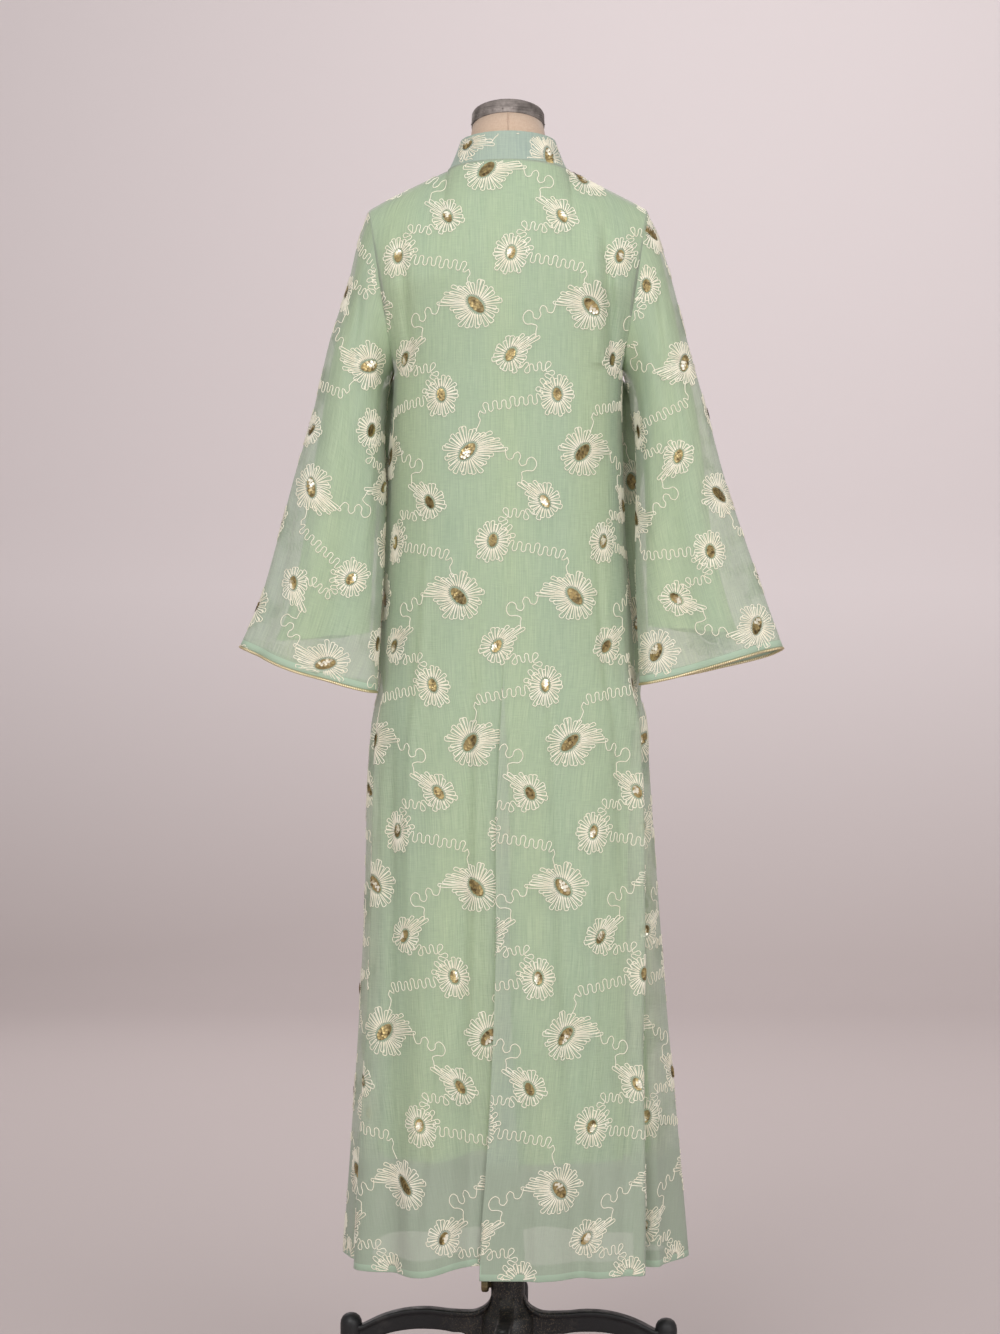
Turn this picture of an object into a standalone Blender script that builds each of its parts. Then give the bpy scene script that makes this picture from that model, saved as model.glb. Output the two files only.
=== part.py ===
"""A sheer voile abaya with bell sleeves and a stand collar, on a limbless dress form with a cast-iron base.

Metres, +Z up. The back of the garment faces -Y and the wearer's right side is +X. The origin is on the
floor, on the axis of the form's post. Cloth pieces are thin walls between an outer and an inner grid.
"""

import math
from collections import namedtuple

import bmesh
import bpy
import numpy as np

# Cloth thicknesses and clearances
VOILE = 0.0012
LINING_CLOTH = 0.0010
COLLAR_CLOTH = 0.0018
HEM_CLOTH = 0.0020
SEAM_GAP = 0.0003
LINING_SEAM_INSET = 0.0017
LINING_INSET = 0.0042

# Heights of the garment
HEM_Z = 0.257
HEM_BAND = 0.010
LINING_HEM_Z = 0.395
ARMPIT_Z = 1.405
SHOULDER_Z = 1.612
NECK_Z = 1.664
NECK_BACK_Z = 1.667
NECK_FRONT_Z = 1.612
COLLAR_HEIGHT = 0.037
SLIT_BOTTOM_Z = 1.405
SLIT_HALF_WIDTH = 0.0030

# Half widths and depths of the garment
ARMPIT_X = 0.148
SHOULDER_X = 0.180
ARMHOLE_HALF_DEPTH = 0.065
NECK_X = 0.078
NECK_BACK_Y = -0.068
NECK_FRONT_Y = 0.080
COLLAR_TOP_X = 0.062
COLLAR_TOP_BACK_Y = -0.060
COLLAR_TOP_FRONT_Y = 0.068
SHOULDER_SHARE = 0.3      # share of a panel's top edge that is one shoulder seam
SHOULDER_BOW = 0.92       # below 1 the shoulder seam bows up between its ends
PLAN_POWER = 2.4          # roundness of the garment's plan: 2 is an ellipse, more is squarer
MEAN_HALF_WIDTH = 0.19
MEAN_HALF_DEPTH = 0.13

# Grid sizes
PANEL_COLUMNS = 40
LINING_COLUMNS = 20
SLEEVE_COLUMNS = 24
SLEEVE_LINING_COLUMNS = 12
UPPER_ROWS = 7

# Plan of the hanging tube, from the armpit down: half widths and depths at each height
Ring = namedtuple("Ring", "height left right back front")
BODY_RINGS = (
    Ring(1.405, 0.148, 0.148, 0.112, 0.128),
    Ring(1.290, 0.150, 0.146, 0.112, 0.126),
    Ring(1.185, 0.152, 0.149, 0.112, 0.116),
    Ring(1.100, 0.157, 0.156, 0.114, 0.113),
    Ring(1.045, 0.161, 0.160, 0.115, 0.113),
    Ring(1.000, 0.165, 0.166, 0.117, 0.115),
    Ring(0.960, 0.175, 0.177, 0.120, 0.118),
    Ring(0.887, 0.181, 0.181, 0.123, 0.122),
    Ring(0.724, 0.184, 0.188, 0.128, 0.130),
    Ring(0.587, 0.188, 0.194, 0.132, 0.137),
    Ring(0.414, 0.196, 0.204, 0.137, 0.146),
    Ring(0.257, 0.204, 0.212, 0.142, 0.154),
)

# Soft folds of the hanging tube. around is the share of the girth from the left side seam: 0.25 centre back,
# 0.5 right side seam, 0.75 centre front. depth and lean are at the hem; lean carries a fold sideways.
Fold = namedtuple("Fold", "around spread starts depth lean")
BODY_FOLDS = (
    Fold(0.030, 0.014, 1.02, -0.013, 0.000),
    Fold(0.066, 0.020, 0.98, 0.013, -0.006),
    Fold(0.112, 0.016, 0.86, -0.011, 0.000),
    Fold(0.150, 0.018, 0.80, 0.006, 0.000),
    Fold(0.182, 0.014, 1.15, -0.009, 0.000),
    Fold(0.222, 0.015, 1.05, -0.022, 0.010),
    Fold(0.252, 0.016, 1.08, 0.020, -0.024),
    Fold(0.292, 0.018, 0.90, 0.006, 0.000),
    Fold(0.328, 0.014, 1.10, -0.008, 0.000),
    Fold(0.372, 0.018, 0.95, 0.006, 0.000),
    Fold(0.428, 0.018, 1.02, 0.017, 0.006),
    Fold(0.466, 0.016, 1.02, -0.026, 0.000),
    Fold(0.510, 0.024, 1.00, 0.022, 0.000),
    Fold(0.562, 0.018, 0.92, -0.014, 0.000),
    Fold(0.606, 0.020, 0.90, 0.014, 0.000),
    Fold(0.652, 0.018, 1.00, -0.012, 0.000),
    Fold(0.700, 0.020, 1.08, 0.015, 0.008),
    Fold(0.742, 0.016, 1.10, -0.014, 0.000),
    Fold(0.786, 0.020, 1.02, 0.013, 0.000),
    Fold(0.834, 0.018, 0.95, -0.013, 0.000),
    Fold(0.884, 0.022, 0.92, 0.014, 0.000),
    Fold(0.934, 0.018, 0.85, -0.012, 0.000),
    Fold(0.984, 0.020, 0.95, 0.012, 0.000),
)
FOLD_GROWTH = 1.2         # above 1 a fold opens slowly near its top and faster near the hem
HEM_LIFT = Fold(0.215, 0.040, HEM_Z, 0.013, 0.0)
LINING_FOLD_SHARE = 0.35
LINING_INSET_AT_HEM = 0.030
LINING_FOLDS_FROM_Z = 1.10

# Heights of the rows below the armpit, as shares of the way up from the hem
PANEL_ROW_SHARES = (0.0, 0.07, 0.15, 0.24, 0.33, 0.42, 0.51, 0.60, 0.69, 0.79, 0.89, 1.0)
LINING_ROW_SHARES = (0.0, 0.17, 0.34, 0.51, 0.68, 0.85, 1.0)

# Profile of the centre back and centre front above the armpit: depth at each height
Profile = namedtuple("Profile", "height depth")
BACK_PROFILE = (
    Profile(1.405, 0.112),
    Profile(1.480, 0.114),
    Profile(1.550, 0.110),
    Profile(1.610, 0.094),
    Profile(1.667, 0.068),
)
FRONT_PROFILE = (
    Profile(1.405, 0.128),
    Profile(1.450, 0.120),
    Profile(1.510, 0.106),
    Profile(1.560, 0.094),
    Profile(1.612, 0.080),
)

# Sleeves, armhole to cuff: outer and inner edge, half depth, and how far the sleeve swings to the back
SleeveRow = namedtuple("SleeveRow", "outer_x outer_z inner_x inner_z half_depth swing")
LEFT_SLEEVE = (
    SleeveRow(0.1800, 1.612, 0.1480, 1.405, 0.065, 0.000),
    SleeveRow(0.1950, 1.569, 0.1600, 1.385, 0.064, 0.001),
    SleeveRow(0.2080, 1.514, 0.1635, 1.355, 0.061, 0.004),
    SleeveRow(0.2310, 1.441, 0.1635, 1.310, 0.057, 0.010),
    SleeveRow(0.2520, 1.348, 0.1625, 1.250, 0.053, 0.018),
    SleeveRow(0.2760, 1.263, 0.1635, 1.185, 0.050, 0.026),
    SleeveRow(0.2940, 1.192, 0.1665, 1.130, 0.047, 0.034),
    SleeveRow(0.3180, 1.106, 0.1695, 1.050, 0.045, 0.041),
    SleeveRow(0.3400, 1.055, 0.1703, 0.999, 0.044, 0.045),
    SleeveRow(0.3430, 1.048, 0.1703, 0.990, 0.044, 0.045),
)
RIGHT_SLEEVE = (
    SleeveRow(0.1800, 1.612, 0.1480, 1.405, 0.065, 0.000),
    SleeveRow(0.1980, 1.569, 0.1590, 1.385, 0.064, 0.001),
    SleeveRow(0.2140, 1.514, 0.1640, 1.355, 0.061, 0.004),
    SleeveRow(0.2320, 1.441, 0.1670, 1.310, 0.057, 0.010),
    SleeveRow(0.2570, 1.348, 0.1680, 1.250, 0.053, 0.018),
    SleeveRow(0.2790, 1.263, 0.1692, 1.185, 0.050, 0.026),
    SleeveRow(0.3015, 1.192, 0.1700, 1.130, 0.047, 0.034),
    SleeveRow(0.3310, 1.105, 0.1710, 1.060, 0.045, 0.041),
    SleeveRow(0.3490, 1.053, 0.1716, 1.009, 0.044, 0.045),
    SleeveRow(0.3520, 1.046, 0.1716, 1.000, 0.044, 0.045),
)
# around is the angle from the outer edge over the back, in degrees; starts is the share of the way down
SleeveFold = namedtuple("SleeveFold", "around spread starts depth")
SLEEVE_FOLDS = (
    SleeveFold(38.0, 14.0, 0.35, -0.006),
    SleeveFold(72.0, 18.0, 0.20, 0.006),
    SleeveFold(108.0, 15.0, 0.30, -0.007),
    SleeveFold(145.0, 14.0, 0.45, 0.004),
    SleeveFold(215.0, 16.0, 0.35, -0.006),
    SleeveFold(250.0, 18.0, 0.30, 0.006),
    SleeveFold(288.0, 16.0, 0.25, -0.007),
    SleeveFold(325.0, 14.0, 0.40, 0.004),
)
CUFF_FRONT_DROP_LEFT = 0.000
CUFF_FRONT_DROP_RIGHT = 0.010
SLEEVE_LINING_INSET = 0.006
PIPING_RADIUS = 0.0012
PIPING_SIDES = 6

# Dress form, from the base up: half width, depth to the back and to the front at each height
FormRing = namedtuple("FormRing", "height half_width back front power")
FORM_RINGS = (
    FormRing(0.840, 0.140, 0.086, 0.084, 2.3),
    FormRing(0.846, 0.148, 0.094, 0.092, 2.3),
    FormRing(0.900, 0.151, 0.098, 0.095, 2.3),
    FormRing(0.970, 0.149, 0.098, 0.094, 2.3),
    FormRing(1.060, 0.134, 0.088, 0.088, 2.3),
    FormRing(1.160, 0.117, 0.076, 0.082, 2.2),
    FormRing(1.250, 0.124, 0.084, 0.098, 2.2),
    FormRing(1.340, 0.134, 0.094, 0.112, 2.2),
    FormRing(1.400, 0.134, 0.096, 0.108, 2.2),
    FormRing(1.470, 0.138, 0.098, 0.096, 2.3),
    FormRing(1.530, 0.146, 0.092, 0.082, 2.3),
    FormRing(1.575, 0.150, 0.078, 0.070, 2.1),
    FormRing(1.602, 0.146, 0.072, 0.062, 1.9),
    FormRing(1.624, 0.128, 0.065, 0.058, 1.82),
    FormRing(1.642, 0.1000, 0.0590, 0.054, 1.77),
    FormRing(1.656, 0.072, 0.053, 0.050, 1.8),
    FormRing(1.675, 0.056, 0.050, 0.049, 2.0),
    FormRing(1.698, 0.050, 0.049, 0.048, 2.0),
)
FORM_SIDES = 28
NECK_TOP_RADIUS = 0.0465
NECK_TOP_Z = 1.720
NECK_TILT = math.radians(13.5)
CapRing = namedtuple("CapRing", "up radius")
CAP_PROFILE = (
    CapRing(0.0003, 0.0470),
    CapRing(0.0160, 0.0470),
    CapRing(0.0180, 0.0450),
    CapRing(0.0208, 0.0315),
    CapRing(0.0220, 0.0080),
)
CAP_SIDES = 28

# Stand
POST_RADIUS = 0.0175
POST_BOTTOM_Z = 0.060
BORE_CLEARANCE = 0.0004
STAND_SIDES = 24
ARM_REACH = 0.205
ARM_ANGLES = (-4.0, 176.0, -94.0, 86.0)
SCREW_Z = 0.2175
SCREW_RADIUS = 0.0040
SCREW_SIDES = 12
SCREW_HOLE_REACH = (-0.030, -0.012)
BarRing = namedtuple("BarRing", "place radius")
SCREW_PROFILE = (
    BarRing(-0.0178, 0.0032),
    BarRing(-0.0188, SCREW_RADIUS),
    BarRing(-0.0245, SCREW_RADIUS),
    BarRing(-0.0250, 0.0076),
    BarRing(-0.0270, 0.0095),
    BarRing(-0.0330, 0.0095),
    BarRing(-0.0350, 0.0071),
)
HubRing = namedtuple("HubRing", "height radius")
HUB_PROFILE = (
    HubRing(0.262, 0.0220),
    HubRing(0.206, 0.0220),
    HubRing(0.196, 0.0250),
    HubRing(0.188, 0.0340),
    HubRing(0.110, 0.0340),
    HubRing(0.090, 0.0260),
    HubRing(0.050, 0.0240),
)
HUB_FLOOR_Z = 0.056
ArmStation = namedtuple("ArmStation", "reach top bottom")
ARM_STATIONS = (
    ArmStation(0.0343, 0.1850, 0.118),
    ArmStation(0.0480, 0.1835, 0.146),
    ArmStation(0.0750, 0.1840, 0.156),
    ArmStation(0.1050, 0.1865, 0.159),
    ArmStation(0.1350, 0.1840, 0.157),
    ArmStation(0.1650, 0.1755, 0.149),
    ArmStation(0.1908, 0.1630, 0.134),
)
ARM_WEB = 0.0065
ARM_LIP = 0.0100
ARM_LIP_HEIGHT = 0.005
ARM_LIP_CHAMFER = 0.001
LegRing = namedtuple("LegRing", "height radius")
LEG_PROFILE = (
    LegRing(0.0000, 0.0200),
    LegRing(0.0100, 0.0210),
    LegRing(0.0180, 0.0170),
    LegRing(0.0300, 0.0115),
    LegRing(0.1200, 0.0125),
    LegRing(0.1400, 0.0142),
    LegRing(0.1640, 0.0142),
    LegRing(0.1730, 0.0110),
    LegRing(0.1780, 0.0050),
)
LEG_SIDES = 14


def clear_scene():
    for item in list(bpy.data.objects):
        bpy.data.objects.remove(item, do_unlink=True)


def finish_material(name, color, roughness, metallic=0.0):
    material = bpy.data.materials.new(name)
    material.use_nodes = True
    shader = material.node_tree.nodes["Principled BSDF"]
    shader.inputs["Base Color"].default_value = (*color, 1.0)
    shader.inputs["Roughness"].default_value = roughness
    shader.inputs["Metallic"].default_value = metallic
    return material


def add_object(name, points, faces, material, smooth=True):
    """A mesh object at the world origin, with its faces turned outwards."""
    mesh = bpy.data.meshes.new(name)
    mesh.from_pydata(np.asarray(points).tolist(), [], [list(face) for face in faces])
    edit = bmesh.new()
    edit.from_mesh(mesh)
    bmesh.ops.recalc_face_normals(edit, faces=edit.faces)
    edit.to_mesh(mesh)
    edit.free()
    mesh.materials.append(material)
    item = bpy.data.objects.new(name, mesh)
    bpy.context.scene.collection.objects.link(item)
    if smooth:
        mesh.shade_smooth()
        mesh.set_sharp_from_angle(angle=math.radians(40.0))
    return item


def grid_normals(grid, wrap):
    """Unit normals of a grid of points, rows by columns, from its differences along both ways."""
    if wrap:
        wide = np.concatenate([grid[:, -1:], grid, grid[:, :1]], axis=1)
        across = (wide[:, 2:] - wide[:, :-2]) / 2.0
    else:
        across = np.gradient(grid, axis=1)
    up = np.gradient(grid, axis=0)
    normal = np.cross(across, up)
    length = np.linalg.norm(normal, axis=-1, keepdims=True)
    return normal / np.maximum(length, 1e-12)


def without_part(vectors, direction):
    """The vectors with their part along a direction taken out, at unit length again."""
    direction = np.asarray(direction, float)
    direction = direction / np.linalg.norm(direction)
    flat = vectors - (vectors @ direction)[..., None] * direction
    return flat / np.linalg.norm(flat, axis=-1, keepdims=True)


def wall_faces(rows, columns, wrap):
    """Triangles of a closed wall: outer grid, inner grid turned round, and the strips along open edges.

    Both grids are cut along the same diagonal, so that the wall keeps its thickness.
    """
    index = np.arange(rows * columns).reshape(rows, columns)
    if wrap:
        index = np.concatenate([index, index[:, :1]], axis=1)
    low_left, low_right = index[:-1, :-1], index[:-1, 1:]
    high_left, high_right = index[1:, :-1], index[1:, 1:]
    first = np.stack([low_left, low_right, high_right], -1).reshape(-1, 3)
    second = np.stack([low_left, high_right, high_left], -1).reshape(-1, 3)
    outer = np.concatenate([first, second])
    shift = rows * columns
    faces = [outer, outer[:, ::-1] + shift]
    edges = [index[0], index[-1][::-1]]
    if not wrap:
        edges += [index[:, -1], index[:, 0][::-1]]
    for line in edges:
        start, end = line[:-1], line[1:]
        faces.append(np.stack([end, start, start + shift], -1))
        faces.append(np.stack([end, start + shift, end + shift], -1))
    return np.concatenate(faces)


def cloth_wall(name, outer, inner, material, wrap=False):
    rows, columns = outer.shape[:2]
    points = np.concatenate([outer.reshape(-1, 3), inner.reshape(-1, 3)])
    return add_object(name, points, wall_faces(rows, columns, wrap), material)


def table_at(table, column, heights):
    """One column of a table read at the given heights, straight between its rows."""
    rows = sorted(table, key=lambda row: row.height)
    return np.interp(heights, [row.height for row in rows], [getattr(row, column) for row in rows])


def quadrant_angles():
    """Share of a quarter girth against angle, for the garment's rounded plan."""
    angle = np.linspace(0.0, math.pi / 2, 400)
    x = MEAN_HALF_WIDTH * np.cos(angle) ** (2.0 / PLAN_POWER)
    y = MEAN_HALF_DEPTH * np.sin(angle) ** (2.0 / PLAN_POWER)
    step = np.hypot(np.diff(x), np.diff(y))
    length = np.concatenate([[0.0], np.cumsum(step)])
    return length / length[-1], angle


QUADRANT_SHARE, QUADRANT_ANGLE = quadrant_angles()


def plan_angle(around):
    """Angle in the plan for a share of the girth, evenly spaced along the cloth."""
    quarter = np.mod(around, 1.0) * 4.0
    number = np.floor(quarter)
    share = quarter - number
    rising = np.interp(share, QUADRANT_SHARE, QUADRANT_ANGLE)
    falling = math.pi / 2 - np.interp(1.0 - share, QUADRANT_SHARE, QUADRANT_ANGLE)
    return number * math.pi / 2 + np.where(number % 2 == 0, rising, falling)


def rounded(value):
    """Signed power that squares off the plan."""
    return np.sign(value) * np.abs(value) ** (2.0 / PLAN_POWER)


def plan_point(around, height, inset):
    """The unfolded plan at a share of the girth and a height, drawn in by an inset."""
    angle = plan_angle(around)
    side = rounded(-np.cos(angle))
    depth = rounded(np.sin(angle))
    left = table_at(BODY_RINGS, "left", height) - inset
    right = table_at(BODY_RINGS, "right", height) - inset
    back = table_at(BODY_RINGS, "back", height) - inset
    front = table_at(BODY_RINGS, "front", height) - inset
    x = side * np.where(side < 0, left, right)
    y = -depth * np.where(depth > 0, back, front)
    return np.stack([x, y], -1)


def tube_point(around, height, inset=0.0, fold_share=1.0):
    """A point of the hanging tube: the plan, moved out and sideways by the folds."""
    step = 0.004
    base = plan_point(around, height, inset)
    along = plan_point(around + step, height, inset) - plan_point(around - step, height, inset)
    along = along / np.linalg.norm(along, axis=-1, keepdims=True)
    outward = np.stack([-along[..., 1], along[..., 0]], -1)
    outward = outward * np.sign(np.sum(outward * base, -1, keepdims=True))
    for fold in BODY_FOLDS:
        away = np.mod(around - fold.around + 0.5, 1.0) - 0.5
        bell = np.exp(-((away / fold.spread) ** 2))
        grown = np.clip((fold.starts - height) / (fold.starts - HEM_Z), 0.0, 1.15)
        amount = (bell * grown**FOLD_GROWTH * fold_share)[..., None]
        base = base + amount * (fold.depth * outward + fold.lean * along)
    return np.concatenate([base, height[..., None]], -1)


def armhole_point(share, side, facing):
    """The armhole, an upright oval: share runs from the armpit, 0, to the shoulder tip, 1."""
    angle = math.pi * (1.0 - share)
    middle_x, reach_x = (SHOULDER_X + ARMPIT_X) / 2, (SHOULDER_X - ARMPIT_X) / 2
    middle_z, reach_z = (SHOULDER_Z + ARMPIT_Z) / 2, (SHOULDER_Z - ARMPIT_Z) / 2
    x = side * (middle_x + reach_x * np.cos(angle))
    y = facing * ARMHOLE_HALF_DEPTH * np.sin(angle)
    z = middle_z + reach_z * np.cos(angle)
    return np.stack([x, y, z], -1)


def armhole_axis(side):
    """Unit vector square to the armhole, out along the sleeve."""
    rise = np.array([side * (SHOULDER_X - ARMPIT_X), 0.0, SHOULDER_Z - ARMPIT_Z])
    axis = np.array([rise[2], 0.0, -rise[0]]) * side
    return axis / np.linalg.norm(axis)


def neck_point(turn, facing):
    """The neck seam: turn runs from the left neck point, 0, to the right one, pi."""
    centre_y = NECK_BACK_Y if facing < 0 else NECK_FRONT_Y
    centre_z = NECK_BACK_Z if facing < 0 else NECK_FRONT_Z
    sweep = np.sin(turn)
    x = -NECK_X * np.cos(turn)
    y = centre_y * sweep
    z = NECK_Z + (centre_z - NECK_Z) * sweep**1.5
    return np.stack([x, y, z], -1)


def top_edge(across, facing):
    """Shoulder seam, neck seam, shoulder seam, for across running from 0 to 1."""
    left = np.clip(across / SHOULDER_SHARE, 0.0, 1.0)
    right = np.clip((1.0 - across) / SHOULDER_SHARE, 0.0, 1.0)
    middle = np.clip((across - SHOULDER_SHARE) / (1.0 - 2 * SHOULDER_SHARE), 0.0, 1.0)
    points = neck_point(middle * math.pi, facing)
    for share, side in ((left, -1.0), (right, 1.0)):
        rise = share**SHOULDER_BOW
        x = side * (SHOULDER_X + (NECK_X - SHOULDER_X) * share)
        z = SHOULDER_Z + (NECK_Z - SHOULDER_Z) * rise
        seam = np.stack([x, np.zeros_like(x), z], -1)
        points = np.where((share < 1.0)[:, None], seam, points)
    return points


def upper_grid(across, facing, rows):
    """The panel above the armpit: cross sections that pass from the armpit ring into the top edge.

    The depth of the shoulder columns falls to nothing as a round turn over the shoulder.
    """
    profile = BACK_PROFILE if facing < 0 else FRONT_PROFILE
    top_z = profile[-1].height
    angle = plan_angle(across / 2.0)
    side = rounded(np.cos(angle))
    depth = np.abs(rounded(np.sin(angle)))
    target = top_edge(across, facing)
    seam_y = table_at(profile, "depth", np.array([top_z]))[0]
    grid = []
    for row in range(1, rows + 1):
        share = row / rows
        rise = 0.5 - 0.5 * math.cos(math.pi * share)
        edge = armhole_point(np.array(share), 1.0, facing)
        centre_z = ARMPIT_Z + (top_z - ARMPIT_Z) * rise
        centre_y = facing * table_at(profile, "depth", np.array([centre_z]))[0]
        x = -side * edge[0]
        y = edge[1] + (centre_y - edge[1]) * depth
        z = edge[2] + (centre_z - edge[2]) * depth
        last_x = -side * SHOULDER_X
        last_y = facing * seam_y * depth
        last_z = SHOULDER_Z + (top_z - SHOULDER_Z) * depth
        turn_over = 1.0 - math.sqrt(1.0 - rise**3)
        grid.append(
            np.stack(
                [
                    x + rise**2 * (target[:, 0] - last_x),
                    y + turn_over * (target[:, 1] - last_y),
                    z + rise**1.3 * (target[:, 2] - last_z),
                ],
                -1,
            )
        )
    return np.array(grid)


def panel_grid(columns, facing, row_shares, upper_rows, lining=False):
    """A whole back or front surface, hem to shoulders, left side to right side."""
    across = np.linspace(0.0, 1.0, columns + 1)
    around = across / 2.0 if facing < 0 else 1.0 - across / 2.0
    lift = HEM_LIFT.depth * np.exp(-(((around - HEM_LIFT.around) / HEM_LIFT.spread) ** 2))
    hem = (LINING_HEM_Z if lining else HEM_Z) + lift
    rows = []
    for share in row_shares:
        height = hem + (ARMPIT_Z - hem) * share
        inset = 0.0
        if lining:
            grown = np.clip((LINING_FOLDS_FROM_Z - height) / (LINING_FOLDS_FROM_Z - HEM_Z), 0.0, 1.0)
            inset = LINING_INSET + (LINING_INSET_AT_HEM - LINING_INSET) * grown
        rows.append(tube_point(around, height, inset, LINING_FOLD_SHARE if lining else 1.0))
    lower = np.array(rows)
    upper = upper_grid(across, facing, upper_rows)
    if lining:
        normal = grid_normals(upper, False)
        normal = normal * np.sign(np.sum(normal[1, :, :2] * upper[1, :, :2], -1).mean())
        edge_rows = np.linspace(0.0, 1.0, upper_rows) ** 8
        inset = LINING_INSET + (LINING_SEAM_INSET - LINING_INSET) * edge_rows
        normal = keep_seam_plane(normal, columns)
        upper = upper - normal * inset[:, None, None]
    return np.concatenate([lower, upper])


def keep_seam_plane(normal, columns):
    """Turns the last row's normals into the shoulder seam's plane, along the two shoulders only."""
    normal = normal.copy()
    shoulder = round(SHOULDER_SHARE * columns)
    for part in (slice(0, shoulder + 1), slice(columns - shoulder, None)):
        normal[-1, part] = without_part(normal[-1, part], (0.0, 1.0, 0.0))
    return normal


def apart(grid, facing):
    """The panel's edges drawn back by half a seam gap: sides and shoulders in Y, armholes along the sleeve."""
    grid = grid.copy()
    half = SEAM_GAP / 2
    armpit = grid.shape[0] - UPPER_ROWS - 1
    for side, column in ((-1.0, 0), (1.0, -1)):
        grid[: armpit + 1, column, 1] += facing * half
        grid[armpit:, column] -= armhole_axis(side) * half
    grid[-1, :, 1] += facing * half
    grid[-1, :, 2] -= half
    return grid


def inner_of(grid, thickness, facing, hem_thickness=None):
    """The inner face: the outer one moved in along its normals, kept in the side and shoulder seam planes."""
    normal = grid_normals(grid, False)
    middle = normal.shape[0] // 3
    normal = normal * np.sign(np.sum(normal[middle, :, :2] * grid[middle, :, :2], -1).mean())
    armpit = grid.shape[0] - UPPER_ROWS - 1
    for column in (0, -1):
        sides = normal[: armpit + 1, column]
        normal[: armpit + 1, column] = without_part(sides, (0.0, 1.0, 0.0))
    normal = keep_seam_plane(normal, grid.shape[1] - 1)
    depth = np.full(grid.shape[0], thickness)
    if hem_thickness:
        depth[:2] = hem_thickness
    return grid - normal * depth[:, None, None]


def panel_rows():
    """Row heights of the voile: one row at the top of the hem band, then the table's."""
    band = HEM_BAND / (ARMPIT_Z - HEM_Z)
    return (0.0, band) + PANEL_ROW_SHARES[1:]


def split_centre(grid, half):
    """Opens a front half's centre edge: a seam gap below the slit, widening to the neck above it."""
    grid = grid.copy()
    column = -1 if half < 0 else 0
    height = grid[:, column, 2]
    grown = np.clip((height - SLIT_BOTTOM_Z) / (NECK_FRONT_Z - SLIT_BOTTOM_Z), 0.0, 1.0)
    grid[:, column, 0] += half * (SEAM_GAP / 2 + SLIT_HALF_WIDTH * grown)
    return grid


def make_panels(voile, lining):
    back = apart(panel_grid(PANEL_COLUMNS, -1.0, panel_rows(), UPPER_ROWS), -1.0)
    cloth_wall("back_panel", back, inner_of(back, VOILE, -1.0, HEM_CLOTH), voile)
    front = apart(panel_grid(PANEL_COLUMNS, 1.0, panel_rows(), UPPER_ROWS), 1.0)
    front_inner = inner_of(front, VOILE, 1.0, HEM_CLOTH)
    middle = PANEL_COLUMNS // 2
    for name, half, keep in (
        ("front_left", -1.0, slice(0, middle + 1)),
        ("front_right", 1.0, slice(middle, None)),
    ):
        outer = split_centre(front[:, keep], half)
        inner = split_centre(front_inner[:, keep], half)
        cloth_wall(name, outer, inner, voile)
    for name, facing in (("lining_back", -1.0), ("lining_front", 1.0)):
        grid = panel_grid(LINING_COLUMNS, facing, LINING_ROW_SHARES, UPPER_ROWS, lining=True)
        grid = apart(grid, facing)
        cloth_wall(name, grid, inner_of(grid, LINING_CLOTH, facing), lining)


def sleeve_ring(row, angle, side, drop):
    """One ring of a sleeve: an oval between its outer and inner edges, swung to the back."""
    middle = np.array([side * (row.outer_x + row.inner_x) / 2, -row.swing, (row.outer_z + row.inner_z) / 2])
    reach = np.array([side * (row.outer_x - row.inner_x) / 2, 0.0, (row.outer_z - row.inner_z) / 2])
    to_back = np.array([0.0, -row.half_depth, 0.0])
    ring = middle + np.cos(angle)[:, None] * reach + np.sin(angle)[:, None] * to_back
    ring[:, 2] += drop * np.sin(angle)
    return ring


def sleeve_rows(table, side, columns, drop):
    """The sleeve's rings, armhole first, with soft folds that grow towards the cuff."""
    angle = np.linspace(0.0, 2 * math.pi, columns, endpoint=False)
    rings = []
    for number, row in enumerate(table):
        share = number / (len(table) - 1)
        ring = sleeve_ring(row, angle, side, drop * share)
        middle = ring.mean(axis=0)
        outward = ring - middle
        outward = outward / np.linalg.norm(outward, axis=1, keepdims=True)
        for fold in SLEEVE_FOLDS:
            away = np.mod(np.degrees(angle) - fold.around + 180.0, 360.0) - 180.0
            bell = np.exp(-((away / fold.spread) ** 2))
            grown = np.clip((share - fold.starts) / (1.0 - fold.starts), 0.0, 1.0)
            ring = ring + outward * (bell * grown * fold.depth)[:, None]
        rings.append(ring)
    rings = np.array(rings)
    rings[0] += armhole_axis(side) * SEAM_GAP / 2
    return rings


def drawn_in(rings, amount, side):
    """The rings moved inwards along their normals; the first stays in the armhole's plane."""
    normal = grid_normals(rings, True)
    outward = rings - rings.mean(axis=1, keepdims=True)
    normal = normal * np.sign(np.sum(normal * outward, -1).mean())
    normal[0] = without_part(outward[0], armhole_axis(side))
    return rings - normal * np.broadcast_to(amount, rings.shape[:1])[:, None, None]


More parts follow.
